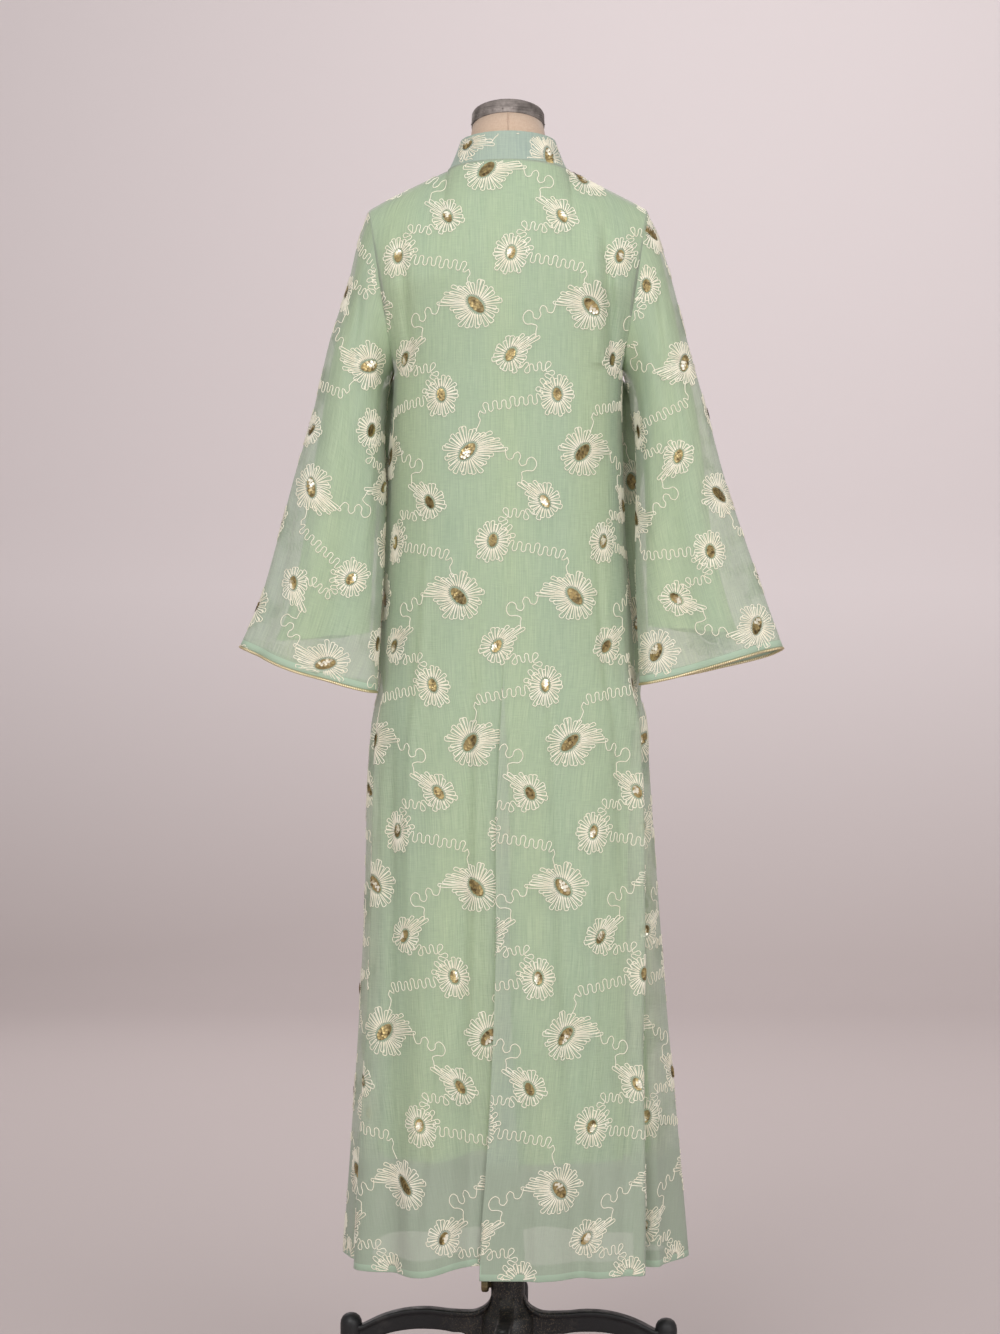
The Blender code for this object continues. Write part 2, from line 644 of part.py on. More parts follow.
def make_sleeve(side, table, drop, voile, lining, gold):
    word = "left" if side < 0 else "right"
    rings = sleeve_rows(table, side, SLEEVE_COLUMNS, drop)
    thickness = np.full(len(rings), VOILE)
    thickness[-2:] = HEM_CLOTH
    inner = drawn_in(rings, thickness, side)
    cloth_wall("sleeve_" + word, rings, inner, voile, wrap=True)
    make_piping("cuff_piping_" + word, (rings + inner) / 2, gold)

    rows = sleeve_rows(table, side, SLEEVE_LINING_COLUMNS, drop)
    rows = np.concatenate([rows[:-2], (rows[-3:-2] + rows[-2:-1]) / 2])
    inset = np.full(len(rows), SLEEVE_LINING_INSET)
    inset[0] = LINING_SEAM_INSET
    outer = drawn_in(rows, inset, side)
    inner = drawn_in(rows, inset + LINING_CLOTH, side)
    cloth_wall("sleeve_lining_" + word, outer, inner, lining, wrap=True)


def make_piping(name, rings, gold):
    """A thin round cord just below the cuff's edge, from the rings along the middle of its wall."""
    edge = rings[-1]
    down = edge - rings[-2]
    down = down / np.linalg.norm(down, axis=1, keepdims=True)
    inward = edge.mean(axis=0) - edge
    inward = inward / np.linalg.norm(inward, axis=1, keepdims=True)
    middle = edge + down * (PIPING_RADIUS + SEAM_GAP * 2)
    turn = np.linspace(0.0, 2 * math.pi, PIPING_SIDES, endpoint=False)
    tube = middle[:, None] + PIPING_RADIUS * (
        np.cos(turn)[None, :, None] * down[:, None] + np.sin(turn)[None, :, None] * inward[:, None]
    )
    columns = PIPING_SIDES
    rows = len(edge)
    index = np.arange(rows * columns).reshape(rows, columns)
    next_row = np.roll(index, -1, axis=0)
    faces = np.stack([index, np.roll(index, -1, 1), np.roll(next_row, -1, 1), next_row], -1)
    add_object(name, tube.reshape(-1, 3), faces.reshape(-1, 4), gold)


def make_collar(voile):
    """A stand collar of doubled cloth on the neck seam, open at the centre front."""
    count = PANEL_COLUMNS - 2 * round(SHOULDER_SHARE * PANEL_COLUMNS)
    back_turn = np.linspace(0.0, math.pi, count + 1)
    front_turn = np.linspace(math.pi, 0.0, count + 1)
    centre = count // 2
    base = np.concatenate(
        [
            neck_point(front_turn[centre:-1], 1.0),
            neck_point(back_turn, -1.0),
            neck_point(front_turn[1 : centre + 1], 1.0),
        ]
    )
    for place, side in ((0, -1.0), (-1, 1.0)):
        base[place, 0] = side * (SLIT_HALF_WIDTH + SEAM_GAP)
    width = COLLAR_TOP_X / NECK_X
    depth = np.where(base[:, 1] < 0, COLLAR_TOP_BACK_Y / NECK_BACK_Y, COLLAR_TOP_FRONT_Y / NECK_FRONT_Y)
    top = base.copy()
    top[:, 0] *= width
    top[:, 1] *= depth
    top[:, 2] += COLLAR_HEIGHT
    for place, side in ((0, -1.0), (-1, 1.0)):
        top[place, 0] = side * (SLIT_HALF_WIDTH + SEAM_GAP)
    base[:, 2] += SEAM_GAP
    shares = np.linspace(0.0, 1.0, 4)[:, None, None]
    outer = base[None] * (1 - shares**0.8) + top[None] * shares**0.8
    outer[:, :, 2] = base[:, 2] * (1 - shares[:, :, 0]) + top[:, 2] * shares[:, :, 0]
    normal = grid_normals(outer, False)
    normal = normal * np.sign(np.sum(normal[..., :2] * outer[..., :2], -1).mean())
    normal = without_part(normal, (0.0, 0.0, 1.0))
    for place in (0, -1):
        normal[:, place] = without_part(normal[:, place], (1.0, 0.0, 0.0))
    cloth_wall("collar", outer, outer - normal * COLLAR_CLOTH, voile)


def loft(name, rings, material):
    """Closed body through rings of equal count, with a flat cap at each end."""
    rows, columns = rings.shape[:2]
    index = np.arange(rows * columns).reshape(rows, columns)
    low, high = index[:-1], index[1:]
    sides = np.stack([low, np.roll(low, -1, 1), np.roll(high, -1, 1), high], -1).reshape(-1, 4)
    faces = [list(face) for face in sides] + [list(index[0][::-1]), list(index[-1])]
    return add_object(name, rings.reshape(-1, 3), faces, material)


def turned(profile, sides, centre=(0.0, 0.0), turn=0.0):
    """Rings round an upright axis from a table of heights and radii."""
    angle = np.linspace(0.0, 2 * math.pi, sides, endpoint=False) + turn
    rings = []
    for row in profile:
        x = centre[0] + row.radius * np.cos(angle)
        y = centre[1] + row.radius * np.sin(angle)
        rings.append(np.stack([x, y, np.full(sides, row.height)], -1))
    return np.array(rings)


def make_form(linen, metal):
    angle = np.linspace(0.0, 2 * math.pi, FORM_SIDES, endpoint=False)
    rings = []
    for row in FORM_RINGS:
        power = 2.0 / row.power
        side = np.sign(np.cos(angle)) * np.abs(np.cos(angle)) ** power
        depth = np.sign(np.sin(angle)) * np.abs(np.sin(angle)) ** power
        y = depth * np.where(depth < 0, row.back, row.front)
        rings.append(np.stack([side * row.half_width, y, np.full(FORM_SIDES, row.height)], -1))
    rings.append(tilted_ring(angle, NECK_TOP_RADIUS, 0.0))
    loft("form_torso", np.array(rings), linen)

    cap_angle = np.linspace(0.0, 2 * math.pi, CAP_SIDES, endpoint=False)
    loft("neck_cap", np.array([tilted_ring(cap_angle, row.radius, row.up) for row in CAP_PROFILE]), metal)


def tilted_ring(angle, radius, up):
    """A round ring on the neck's top plane, which dips towards the front."""
    along = np.array([0.0, math.cos(NECK_TILT), -math.sin(NECK_TILT)])
    axis = np.array([0.0, math.sin(NECK_TILT), math.cos(NECK_TILT)])
    centre = np.array([0.0, 0.0, NECK_TOP_Z]) + axis * up
    return (
        centre
        + radius * np.cos(angle)[:, None] * np.array([1.0, 0.0, 0.0])
        + radius * np.sin(angle)[:, None] * along
    )


def cut(target, cutter):
    """Cuts a helper from a piece and hides the helper."""
    modifier = target.modifiers.new("cut", "BOOLEAN")
    modifier.operation = "DIFFERENCE"
    modifier.solver = "EXACT"
    modifier.object = cutter
    cutter.hide_render = True
    cutter.display_type = "WIRE"


def bar_rings(profile):
    """Rings round the screw's axis, which runs along X, from a table of places and radii."""
    angle = np.linspace(0.0, 2 * math.pi, SCREW_SIDES, endpoint=False)
    rings = []
    for row in profile:
        x = np.full(SCREW_SIDES, row.place)
        rings.append(np.stack([x, row.radius * np.cos(angle), SCREW_Z + row.radius * np.sin(angle)], -1))
    return np.array(rings)


def make_hub(iron):
    """The casting's middle: a turned hub with a deep socket for the post and a cross hole for the screw."""
    bore = POST_RADIUS + BORE_CLEARANCE
    outer = turned(HUB_PROFILE, STAND_SIDES)
    socket = turned((HubRing(HUB_FLOOR_Z, bore), HubRing(HUB_PROFILE[0].height, bore)), STAND_SIDES)
    rings = np.concatenate([socket, outer])
    rows, columns = rings.shape[:2]
    index = np.arange(rows * columns).reshape(rows, columns)
    low, high = index[:-1], index[1:]
    sides = np.stack([low, np.roll(low, -1, 1), np.roll(high, -1, 1), high], -1).reshape(-1, 4)
    faces = [list(face) for face in sides] + [list(index[0][::-1]), list(index[-1])]
    hub = add_object("stand_hub", rings.reshape(-1, 3), faces, iron)
    hole = SCREW_RADIUS + BORE_CLEARANCE
    bar = [BarRing(place, hole) for place in SCREW_HOLE_REACH]
    cutter = loft("screw_hole_cutter", bar_rings(bar), iron)
    cut(hub, cutter)


def make_screw(brass):
    """The thumb screw: shank through the socket's wall, and a round knob at its end."""
    rings = bar_rings(SCREW_PROFILE)
    screw = loft("clamp_screw", rings - np.array([0.0, 0.0, SCREW_Z]), brass)
    screw.location = (0.0, 0.0, SCREW_Z)


def make_arm(number, degrees, iron):
    """An arched arm: a web with a wider lip along its top."""
    rings = []
    for station in ARM_STATIONS:
        lip = station.top - ARM_LIP_HEIGHT
        outline = (
            (-ARM_WEB, station.bottom),
            (ARM_WEB, station.bottom),
            (ARM_WEB, lip),
            (ARM_LIP, lip + ARM_LIP_CHAMFER),
            (ARM_LIP, station.top - ARM_LIP_CHAMFER),
            (ARM_WEB, station.top),
            (-ARM_WEB, station.top),
            (-ARM_LIP, station.top - ARM_LIP_CHAMFER),
            (-ARM_LIP, lip + ARM_LIP_CHAMFER),
            (-ARM_WEB, lip),
        )
        rings.append([(station.reach, y, z) for y, z in outline])
    rings = np.array(rings)
    turn = math.radians(degrees)
    x = rings[..., 0] * math.cos(turn) - rings[..., 1] * math.sin(turn)
    y = rings[..., 0] * math.sin(turn) + rings[..., 1] * math.cos(turn)
    loft(f"stand_arm_{number}", np.stack([x, y, rings[..., 2]], -1), iron)


def make_stand(iron, brass, steel):
    make_hub(iron)
    make_screw(brass)
    post = (HubRing(POST_BOTTOM_Z, POST_RADIUS), HubRing(FORM_RINGS[0].height - SEAM_GAP, POST_RADIUS))
    loft("form_post", turned(post, STAND_SIDES), steel)
    for number, degrees in enumerate(ARM_ANGLES, 1):
        make_arm(number, degrees, iron)
        turn = math.radians(degrees)
        centre = (ARM_REACH * math.cos(turn), ARM_REACH * math.sin(turn))
        facet = turn + math.pi / LEG_SIDES
        loft(f"stand_leg_{number}", turned(LEG_PROFILE, LEG_SIDES, centre, facet), iron)


def main():
    clear_scene()
    voile = finish_material("voile", (0.50, 0.64, 0.47), 0.75)
    lining = finish_material("lining_cloth", (0.42, 0.66, 0.40), 0.70)
    gold = finish_material("gold_cord", (0.72, 0.53, 0.22), 0.40, 0.8)
    linen = finish_material("linen", (0.66, 0.52, 0.38), 0.85)
    cap_metal = finish_material("cap_metal", (0.30, 0.29, 0.28), 0.50, 0.9)
    iron = finish_material("cast_iron", (0.035, 0.036, 0.038), 0.55, 0.6)
    brass = finish_material("screw_brass", (0.45, 0.38, 0.24), 0.45, 0.9)
    steel = finish_material("post_steel", (0.06, 0.06, 0.065), 0.45, 0.8)
    make_panels(voile, lining)
    make_sleeve(-1.0, LEFT_SLEEVE, CUFF_FRONT_DROP_LEFT, voile, lining, gold)
    make_sleeve(1.0, RIGHT_SLEEVE, CUFF_FRONT_DROP_RIGHT, voile, lining, gold)
    make_collar(voile)
    make_form(linen, cap_metal)
    make_stand(iron, brass, steel)


main()
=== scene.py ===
"""Dresses the abaya on its dress form: sheer embroidered voile over a green lining, linen, metal and iron.

Metres, +Z up; the garment's back faces -Y. Cloth is a thin shell on the form of its solid. The embroidery is
laid on the cloth as raised cord, from a small charted repeat.
"""

import math
from collections import namedtuple

import bpy
import numpy as np
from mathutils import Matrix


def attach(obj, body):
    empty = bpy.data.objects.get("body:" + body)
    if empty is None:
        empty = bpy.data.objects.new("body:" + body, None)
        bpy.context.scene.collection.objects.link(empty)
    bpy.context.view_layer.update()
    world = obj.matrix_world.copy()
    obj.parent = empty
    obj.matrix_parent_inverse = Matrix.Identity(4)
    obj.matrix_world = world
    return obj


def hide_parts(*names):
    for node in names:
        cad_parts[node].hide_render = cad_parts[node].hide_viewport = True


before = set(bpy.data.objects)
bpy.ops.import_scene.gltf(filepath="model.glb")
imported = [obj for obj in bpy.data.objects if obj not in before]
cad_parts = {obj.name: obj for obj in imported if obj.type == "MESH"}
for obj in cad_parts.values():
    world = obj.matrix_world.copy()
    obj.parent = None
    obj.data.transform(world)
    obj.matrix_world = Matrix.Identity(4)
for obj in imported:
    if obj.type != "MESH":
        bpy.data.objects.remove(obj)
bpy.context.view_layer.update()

TURN = 2.0 * math.pi
ORIGIN = np.zeros(3)


def table(columns, *rows):
    """Rows of numbers under named columns."""
    row = namedtuple("Row", columns)
    return tuple(row(*numbers) for numbers in rows)


# Sizes of the garment

HEM_Z = 0.257
LINING_HEM_Z = 0.395
ARMPIT_Z = 1.405
SHOULDER_Z = 1.612
NECK_Z = 1.664
ARMPIT_X = 0.148
SHOULDER_X = 0.180
ARMHOLE_HALF_DEPTH = 0.065
NECK_X = 0.078
COLLAR_HEIGHT = 0.037
COLLAR_CLOTH = 0.0018
SLIT_BOTTOM_Z = 1.405
SLIT_HALF_WIDTH = 0.0030
SEAM_HALF_GAP = 0.00015
SHOULDER_SHARE = 0.3
SHOULDER_BOW = 0.92
PLAN_POWER = 2.4
PROBE = 0.004
MEAN_HALF_WIDTH, MEAN_HALF_DEPTH = 0.19, 0.13
HEM_BAND = 0.0085
HEM_FOLD_GAP = 0.0009
HEM_TINT = (0.465, 0.600, 0.455)
LINING_INSET = 0.0042
LINING_INSET_AT_HEM = 0.030
LINING_SEAM_INSET = 0.0020
LINING_FOLD_SHARE = 0.35
LINING_FOLDS_FROM_Z = 1.10
BACK, FRONT = -1.0, 1.0
LEFT, RIGHT = -1.0, 1.0

# Depth and height of the neck seam at its middle, and half width and depths of the collar's top
NECK_CENTRES = {BACK: (-0.068, 1.667), FRONT: (0.080, 1.612)}
COLLAR_TOP_X = 0.062
COLLAR_TOP_DEPTHS = {BACK: -0.060, FRONT: 0.068}

BODY_RINGS = table(
    "height left right back front",
    (0.257, 0.204, 0.212, 0.142, 0.154),
    (0.414, 0.196, 0.204, 0.137, 0.146),
    (0.587, 0.188, 0.194, 0.132, 0.137),
    (0.724, 0.184, 0.188, 0.128, 0.13),
    (0.887, 0.181, 0.181, 0.123, 0.122),
    (0.96, 0.175, 0.177, 0.12, 0.118),
    (1, 0.165, 0.166, 0.117, 0.115),
    (1.045, 0.161, 0.16, 0.115, 0.113),
    (1.1, 0.157, 0.156, 0.114, 0.113),
    (1.185, 0.152, 0.149, 0.112, 0.116),
    (1.29, 0.15, 0.146, 0.112, 0.126),
    (1.405, 0.148, 0.148, 0.112, 0.128),
)

# Folds of the hanging tube, at the same shares of the girth as in the solids: 0.25 is the centre back
BODY_FOLDS = table(
    "around spread starts depth lean",
    (0.04, 0.014, 1.04, -0.022, 0),
    (0.076, 0.018, 0.98, 0.012, -0.006),
    (0.112, 0.016, 0.86, -0.011, 0),
    (0.15, 0.018, 0.8, 0.006, 0),
    (0.182, 0.014, 1.15, -0.009, 0),
    (0.292, 0.018, 0.9, 0.006, 0),
    (0.328, 0.014, 1.1, -0.008, 0),
    (0.362, 0.018, 0.95, 0.006, 0),
    (0.416, 0.02, 1.02, 0.004, 0.003),
    (0.448, 0.02, 1.02, -0.004, 0),
    (0.5, 0.026, 1, 0.023, 0),
    (0.562, 0.018, 0.92, -0.014, 0),
    (0.606, 0.02, 0.9, 0.014, 0),
    (0.652, 0.018, 1, -0.012, 0),
    (0.7, 0.02, 1.08, 0.015, 0.008),
    (0.742, 0.016, 1.1, -0.014, 0),
    (0.786, 0.02, 1.02, 0.013, 0),
    (0.834, 0.018, 0.95, -0.013, 0),
    (0.884, 0.022, 0.92, 0.014, 0),
    (0.934, 0.018, 0.85, -0.012, 0),
    (0.984, 0.02, 0.95, 0.012, 0),
)

# The deep fold at the centre back: how far its right edge lies over the left cloth at each height
PLEAT_AROUND = 0.2430
PLEAT_HALF = 0.0200
PLEAT_DEPTH = 0.0085
PLEAT_FADE = 0.045
PLEAT_FULL = 0.012
PLEAT_ROWS = table(
    "height overlap",
    (0.2, 0.04),
    (0.29, 0.038),
    (0.418, 0.029),
    (0.52, 0.023),
    (0.65, 0.018),
    (0.85, 0.0165),
    (0.95, 0.011),
    (1.08, 0.002),
    (1.2, 0),
)

# Beside the deep fold the hem rises a little; the rise ends just past the fold's middle
HEM_LIFT_AROUND, HEM_LIFT_SPREAD, HEM_LIFT_HEIGHT = 0.215, 0.036, 0.018
HEM_LIFT_END = PLEAT_AROUND + PLEAT_HALF * 0.3

# Soft creases laid over the folds: each runs between two heights and wanders from one share to another
CREASE_COLUMNS = "top_around low_around top low spread depth"
BODY_CREASES = table(
    CREASE_COLUMNS,
    (0.2, 0.192, 1.08, 0.6, 0.01, -0.0056),
    (0.17, 0.146, 0.66, 0.34, 0.0085, -0.0056),
    (0.216, 0.206, 1.12, 0.3, 0.0065, 0.0034),
    (0.305, 0.318, 1.1, 0.55, 0.01, -0.0058),
    (0.352, 0.344, 0.92, 0.28, 0.008, 0.0044),
    (0.392, 0.398, 1.22, 0.8, 0.009, -0.004),
    (0.276, 0.28, 0.62, 0.26, 0.0075, 0.0044),
    (0.408, 0.412, 0.7, 0.3, 0.008, -0.0054),
    (0.09, 0.098, 1, 0.4, 0.009, -0.0054),
    (0.128, 0.122, 1.25, 0.72, 0.009, 0.0034),
    (0.232, 0.236, 1.36, 1.1, 0.012, -0.0012),
    (0.318, 0.33, 1.4, 1.16, 0.013, -0.0014),
    (0.438, 0.384, 1.14, 0.1, 0.01, 0.014),
    (0.04, 0.041, 1.08, 0.34, 0.0085, -0.008),
    (0.062, 0.063, 1.08, 0.34, 0.008, 0.004),
    (0.545, 0.54, 0.96, 0.45, 0.008, -0.0032),
    (0.588, 0.592, 0.9, 0.3, 0.007, 0.003),
    (0.64, 0.632, 1.05, 0.58, 0.008, -0.003),
    (0.682, 0.676, 1.2, 0.62, 0.0085, -0.0026),
    (0.722, 0.716, 0.98, 0.32, 0.007, 0.0032),
    (0.768, 0.772, 1.12, 0.5, 0.008, -0.0032),
    (0.812, 0.82, 0.92, 0.28, 0.0075, 0.003),
    (0.862, 0.858, 1.1, 0.64, 0.0085, -0.0028),
    (0.905, 0.912, 0.96, 0.4, 0.008, -0.0034),
    (0.955, 0.95, 0.86, 0.3, 0.008, 0.003),
)

# The deep trough behind the right side fold's edge, which the lining follows
SIDE_TROUGHS = table(CREASE_COLUMNS, (0.464, 0.408, 1.06, 0.10, 0.0105, -0.0330))

# Folds of the cloth and its lining beside the sleeves: each grows over its rise, from its top down
SIDE_FOLDS = table(
    "around spread top rise low depth",
    (0.542, 0.016, 1.35, 0.08, 0.95, 0.031),
    (0.546, 0.019, 1.405, 0.022, 1.24, 0.0255),
    (0.959, 0.016, 1.345, 0.07, 0.95, 0.0235),
    (0.952, 0.019, 1.405, 0.022, 1.24, 0.0245),
    (0.5, 0.02, 1.375, 0.1, 0.98, 0.0036),
    (0.999, 0.02, 1.375, 0.1, 0.98, 0.0056),
)

# Drag lines of the upper back and front: a soft line from one point of the cloth to another
DRAG_LINES = table(
    "facing start_x start_z end_x end_z spread depth",
    (-1, 0.121, 1.606, 0.134, 1.42, 0.0065, -0.0092),
    (-1, 0.104, 1.6, 0.117, 1.44, 0.009, 0.0046),
    (-1, -0.14, 1.59, -0.128, 1.44, 0.007, -0.0048),
    (-1, -0.03, 1.64, -0.06, 1.56, 0.009, -0.0014),
    (-1, 0.052, 1.636, 0.08, 1.56, 0.009, -0.0016),
    (-1, -0.132, 1.4, -0.07, 1.33, 0.009, -0.0022),
    (-1, 0.132, 1.392, 0.066, 1.318, 0.009, -0.0022),
    (1, 0.118, 1.59, 0.132, 1.44, 0.007, -0.0032),
    (1, -0.12, 1.592, -0.131, 1.446, 0.007, -0.0032),
    (1, 0.128, 1.41, 0.06, 1.372, 0.009, -0.0026),
    (1, -0.126, 1.404, -0.064, 1.362, 0.009, -0.0026),
    (1, 0.02, 1.54, 0.05, 1.43, 0.01, -0.0016),
)

# Centre line of the upper back and front
PROFILES = {
    BACK: table(
        "height depth",
        (1.29, 0.112),
        (1.405, 0.112),
        (1.48, 0.114),
        (1.55, 0.11),
        (1.61, 0.094),
        (1.667, 0.068),
    ),
    FRONT: table(
        "height depth",
        (1.29, 0.126),
        (1.405, 0.128),
        (1.45, 0.12),
        (1.51, 0.106),
        (1.56, 0.094),
        (1.612, 0.08),
    ),
}

# Sleeves, from the armhole to the cuff: the outer and inner edge, and how far the sleeve swings to the back
SLEEVE_COLUMNS = "outer_x outer_z inner_x inner_z half_depth swing"
SLEEVES = {
    LEFT: table(
        SLEEVE_COLUMNS,
        (0.18, 1.612, 0.148, 1.405, 0.065, 0),
        (0.195, 1.569, 0.1585, 1.385, 0.064, 0.001),
        (0.208, 1.514, 0.1612, 1.355, 0.061, 0.004),
        (0.231, 1.441, 0.161, 1.31, 0.057, 0.01),
        (0.252, 1.348, 0.1602, 1.25, 0.053, 0.018),
        (0.276, 1.263, 0.1614, 1.185, 0.05, 0.026),
        (0.294, 1.192, 0.1634, 1.13, 0.047, 0.034),
        (0.318, 1.106, 0.1662, 1.05, 0.045, 0.041),
        (0.343, 1.048, 0.1676, 0.99, 0.044, 0.045),
    ),
    RIGHT: table(
        SLEEVE_COLUMNS,
        (0.18, 1.612, 0.148, 1.405, 0.065, 0),
        (0.198, 1.569, 0.159, 1.385, 0.064, 0.001),
        (0.214, 1.514, 0.164, 1.355, 0.061, 0.004),
        (0.232, 1.441, 0.167, 1.31, 0.057, 0.01),
        (0.257, 1.348, 0.168, 1.25, 0.053, 0.018),
        (0.279, 1.263, 0.1672, 1.185, 0.05, 0.026),
        (0.3015, 1.192, 0.1668, 1.13, 0.047, 0.034),
        (0.331, 1.105, 0.1674, 1.06, 0.045, 0.041),
        (0.352, 1.046, 0.168, 1, 0.044, 0.045),
    ),
}

# How far each cuff's edge bows down at its middle, and how much lower its front edge hangs
Cuff = namedtuple("Cuff", "bow drop")
CUFFS = {LEFT: Cuff(0.0072, 0.0006), RIGHT: Cuff(0.0024, 0.0050)}

# Folds and creases of a sleeve: angles run from the outer edge over the back, in degrees. The lining has
# only the first ones.
SLEEVE_FOLDS = table(
    "top_angle low_angle spread starts ends depth",
    (38, 38, 14, 0.35, 1.4, -0.006),
    (72, 72, 18, 0.2, 1.4, 0.006),
    (108, 108, 15, 0.3, 1.4, -0.007),
    (145, 145, 14, 0.45, 1.4, 0.004),
    (215, 215, 16, 0.35, 1.4, -0.006),
    (250, 250, 18, 0.3, 1.4, 0.006),
    (288, 288, 16, 0.25, 1.4, -0.007),
    (325, 325, 14, 0.4, 1.4, 0.004),
    (60, 96, 7, 0.06, 0.62, -0.0022),
    (110, 84, 8, 0.1, 0.55, -0.002),
    (140, 128, 7, 0.12, 0.8, 0.0018),
    (238, 262, 8, 0.08, 0.6, -0.0022),
    (300, 272, 8, 0.14, 0.7, -0.002),
    (20, 52, 8, 0.24, 0.9, 0.0018),
    (180, 176, 24, 0.1, 1, 0.0034),
    (194, 190, 24, 0, 0.32, 0.0125),
)
SLEEVE_LINING_FOLDS = SLEEVE_FOLDS[:8]
SLEEVE_LINING_INSET = 0.0125
SLEEVE_LINING_LENGTH, SLEEVE_LINING_SLANT = 0.908, 0.050
SLEEVE_LINING_OUTER = {LEFT: 0.026, RIGHT: 0.036}
PIPING_RADIUS = 0.0017

# Sizes of the form

FORM_RINGS = table(
    "height half_width back front power",
    (0.84, 0.14, 0.086, 0.084, 2.3),
    (0.846, 0.148, 0.094, 0.092, 2.3),
    (0.9, 0.151, 0.098, 0.095, 2.3),
    (0.97, 0.149, 0.098, 0.094, 2.3),
    (1.06, 0.134, 0.088, 0.088, 2.3),
    (1.16, 0.117, 0.076, 0.082, 2.2),
    (1.25, 0.124, 0.084, 0.098, 2.2),
    (1.34, 0.134, 0.094, 0.112, 2.2),
    (1.4, 0.134, 0.096, 0.108, 2.2),
    (1.47, 0.138, 0.098, 0.096, 2.3),
    (1.53, 0.146, 0.092, 0.082, 2.3),
    (1.575, 0.15, 0.078, 0.07, 2.1),
    (1.602, 0.146, 0.072, 0.062, 1.9),
    (1.624, 0.128, 0.065, 0.058, 1.82),
    (1.642, 0.1, 0.059, 0.054, 1.77),
    (1.656, 0.072, 0.053, 0.05, 1.8),
    (1.675, 0.056, 0.05, 0.049, 2),
    (1.698, 0.05, 0.049, 0.048, 2),
)
FORM_SIDES = 96
FORM_HEIGHTS = np.concatenate([[0.840, 0.842, 0.846], np.linspace(0.855, 1.698, 84)])
NECK_TOP_RADIUS = 0.0465
NECK_TOP = np.array([0.0, 0.0, 1.720])
NECK_TILT = math.radians(13.5)
NECK_AXIS = np.array([0.0, math.sin(NECK_TILT), math.cos(NECK_TILT)])
WELT_RADIUS = 0.0007
CAP_SIDES = 64
CAP_PROFILE = table(
    "up radius",
    (0.0003, 0.0470),
    (0.0010, 0.0474),
    (0.0165, 0.0473),
    (0.0190, 0.0460),
    (0.0203, 0.0438),
    (0.0214, 0.0400),
    (0.0232, 0.0300),
    (0.0243, 0.0180),
    (0.0248, 0.0060),
)
TACK_COUNT, TACK_UP, TACK_RADIUS, TACK_SIDES = 22, 0.0052, 0.0013, 10
TACK_PROFILE = table("share lift", (1.0, -0.0002), (0.85, 0.0004), (0.45, 0.0007), (0.02, 0.0008))

# Sizes of the stand: four arched arms and their legs round a turned hub

ARM_ANGLES = (-4.0, 176.0, -94.0, 86.0)
ARM_REACH = 0.205
ARM_START, ARM_BEND, ARM_END = 0.014, 0.050, 0.197
FILLET_END, FILLET_RUN, FILLET_RISE = 0.047, 0.025, 0.021
FLARE_Z, FLARE_HEIGHT, FLARE_RADIUS, FLARE_WIDTH = 0.178, 0.030, 0.0220, 0.0118
METAL_SIDES, LEG_SIDES, BOLT_SIDES = 72, 40, 24
POST_RADIUS = 0.0175
SOCKET_RADIUS = 0.0179
SCREW_Z = 0.2175
ARM_STATIONS = table(
    "reach top bottom",
    (0.0343, 0.185, 0.118),
    (0.048, 0.1835, 0.146),
    (0.075, 0.184, 0.156),
    (0.105, 0.1865, 0.159),
    (0.135, 0.184, 0.157),
    (0.165, 0.1755, 0.149),
    (0.1908, 0.163, 0.134),
)

# One side of an arm's section: half width, whether it is measured from the top, and the height from there
ARM_SECTION = (
    (0.0035, 0, 0), (0.0058, 0, 0.0009), (0.0065, 0, 0.0032), (0.0065, 1, -0.01), (0.0068, 1, -0.0078),
    (0.008, 1, -0.0064), (0.0096, 1, -0.0052), (0.01, 1, -0.004), (0.01, 1, -0.0018), (0.0092, 1, -0.0005),
    (0.0072, 1, 0),
)

# Turned profiles, as pairs of height and radius
LEG_PROFILE = (
    (0, 0.015), (0.0002, 0.0195), (0.003, 0.0206), (0.01, 0.021), (0.014, 0.0198), (0.018, 0.0168),
    (0.03, 0.0118), (0.07, 0.0118), (0.12, 0.0125), (0.14, 0.0142), (0.164, 0.0142), (0.169, 0.0134),
    (0.1735, 0.011), (0.1765, 0.0072), (0.1778, 0.003),
)
HUB_FOOT = (
    (0.050, 0.0225), (0.052, 0.0240), (0.090, 0.0260), (0.100, 0.0300), (0.110, 0.0338), (0.150, 0.0340),
)
HUB_RIM = (
    (0.2600, 0.0220), (0.2616, 0.0214), (0.2620, 0.0204), (0.2616, 0.0186),
    (0.2600, SOCKET_RADIUS), (0.0600, SOCKET_RADIUS),
)
BOLT_REACH = 0.115
BOLT_PROFILE = ((0.1840, 0.0052), (0.1872, 0.0052), (0.1884, 0.0044), (0.1890, 0.0026), (0.1892, 0.0008))
POST_PROFILE = ((0.0602, 0.0165), (0.0612, POST_RADIUS), (0.8380, POST_RADIUS), (0.8390, 0.0170))

# The thumb screw, outwards from the post: place, radius and depth of its knurls
SCREW_PROFILE = (
    (-0.0179, 0.0032, 0), (-0.0188, 0.0039, 0), (-0.0245, 0.0039, 0), (-0.0250, 0.0070, 0),
    (-0.0262, 0.0088, 0.00035), (-0.0274, 0.0095, 0.00035), (-0.0326, 0.0095, 0.00035),
    (-0.0340, 0.0086, 0.00035), (-0.0348, 0.0066, 0), (-0.0350, 0.0030, 0),
)
KNURLS = 18

# Embroidery chart: one repeat of the chain, in units of a 1.257 mm stitch length, x to the right and y down
# from the large daisy's middle. The next repeat is its mirror image, one row down and one pitch to the left.

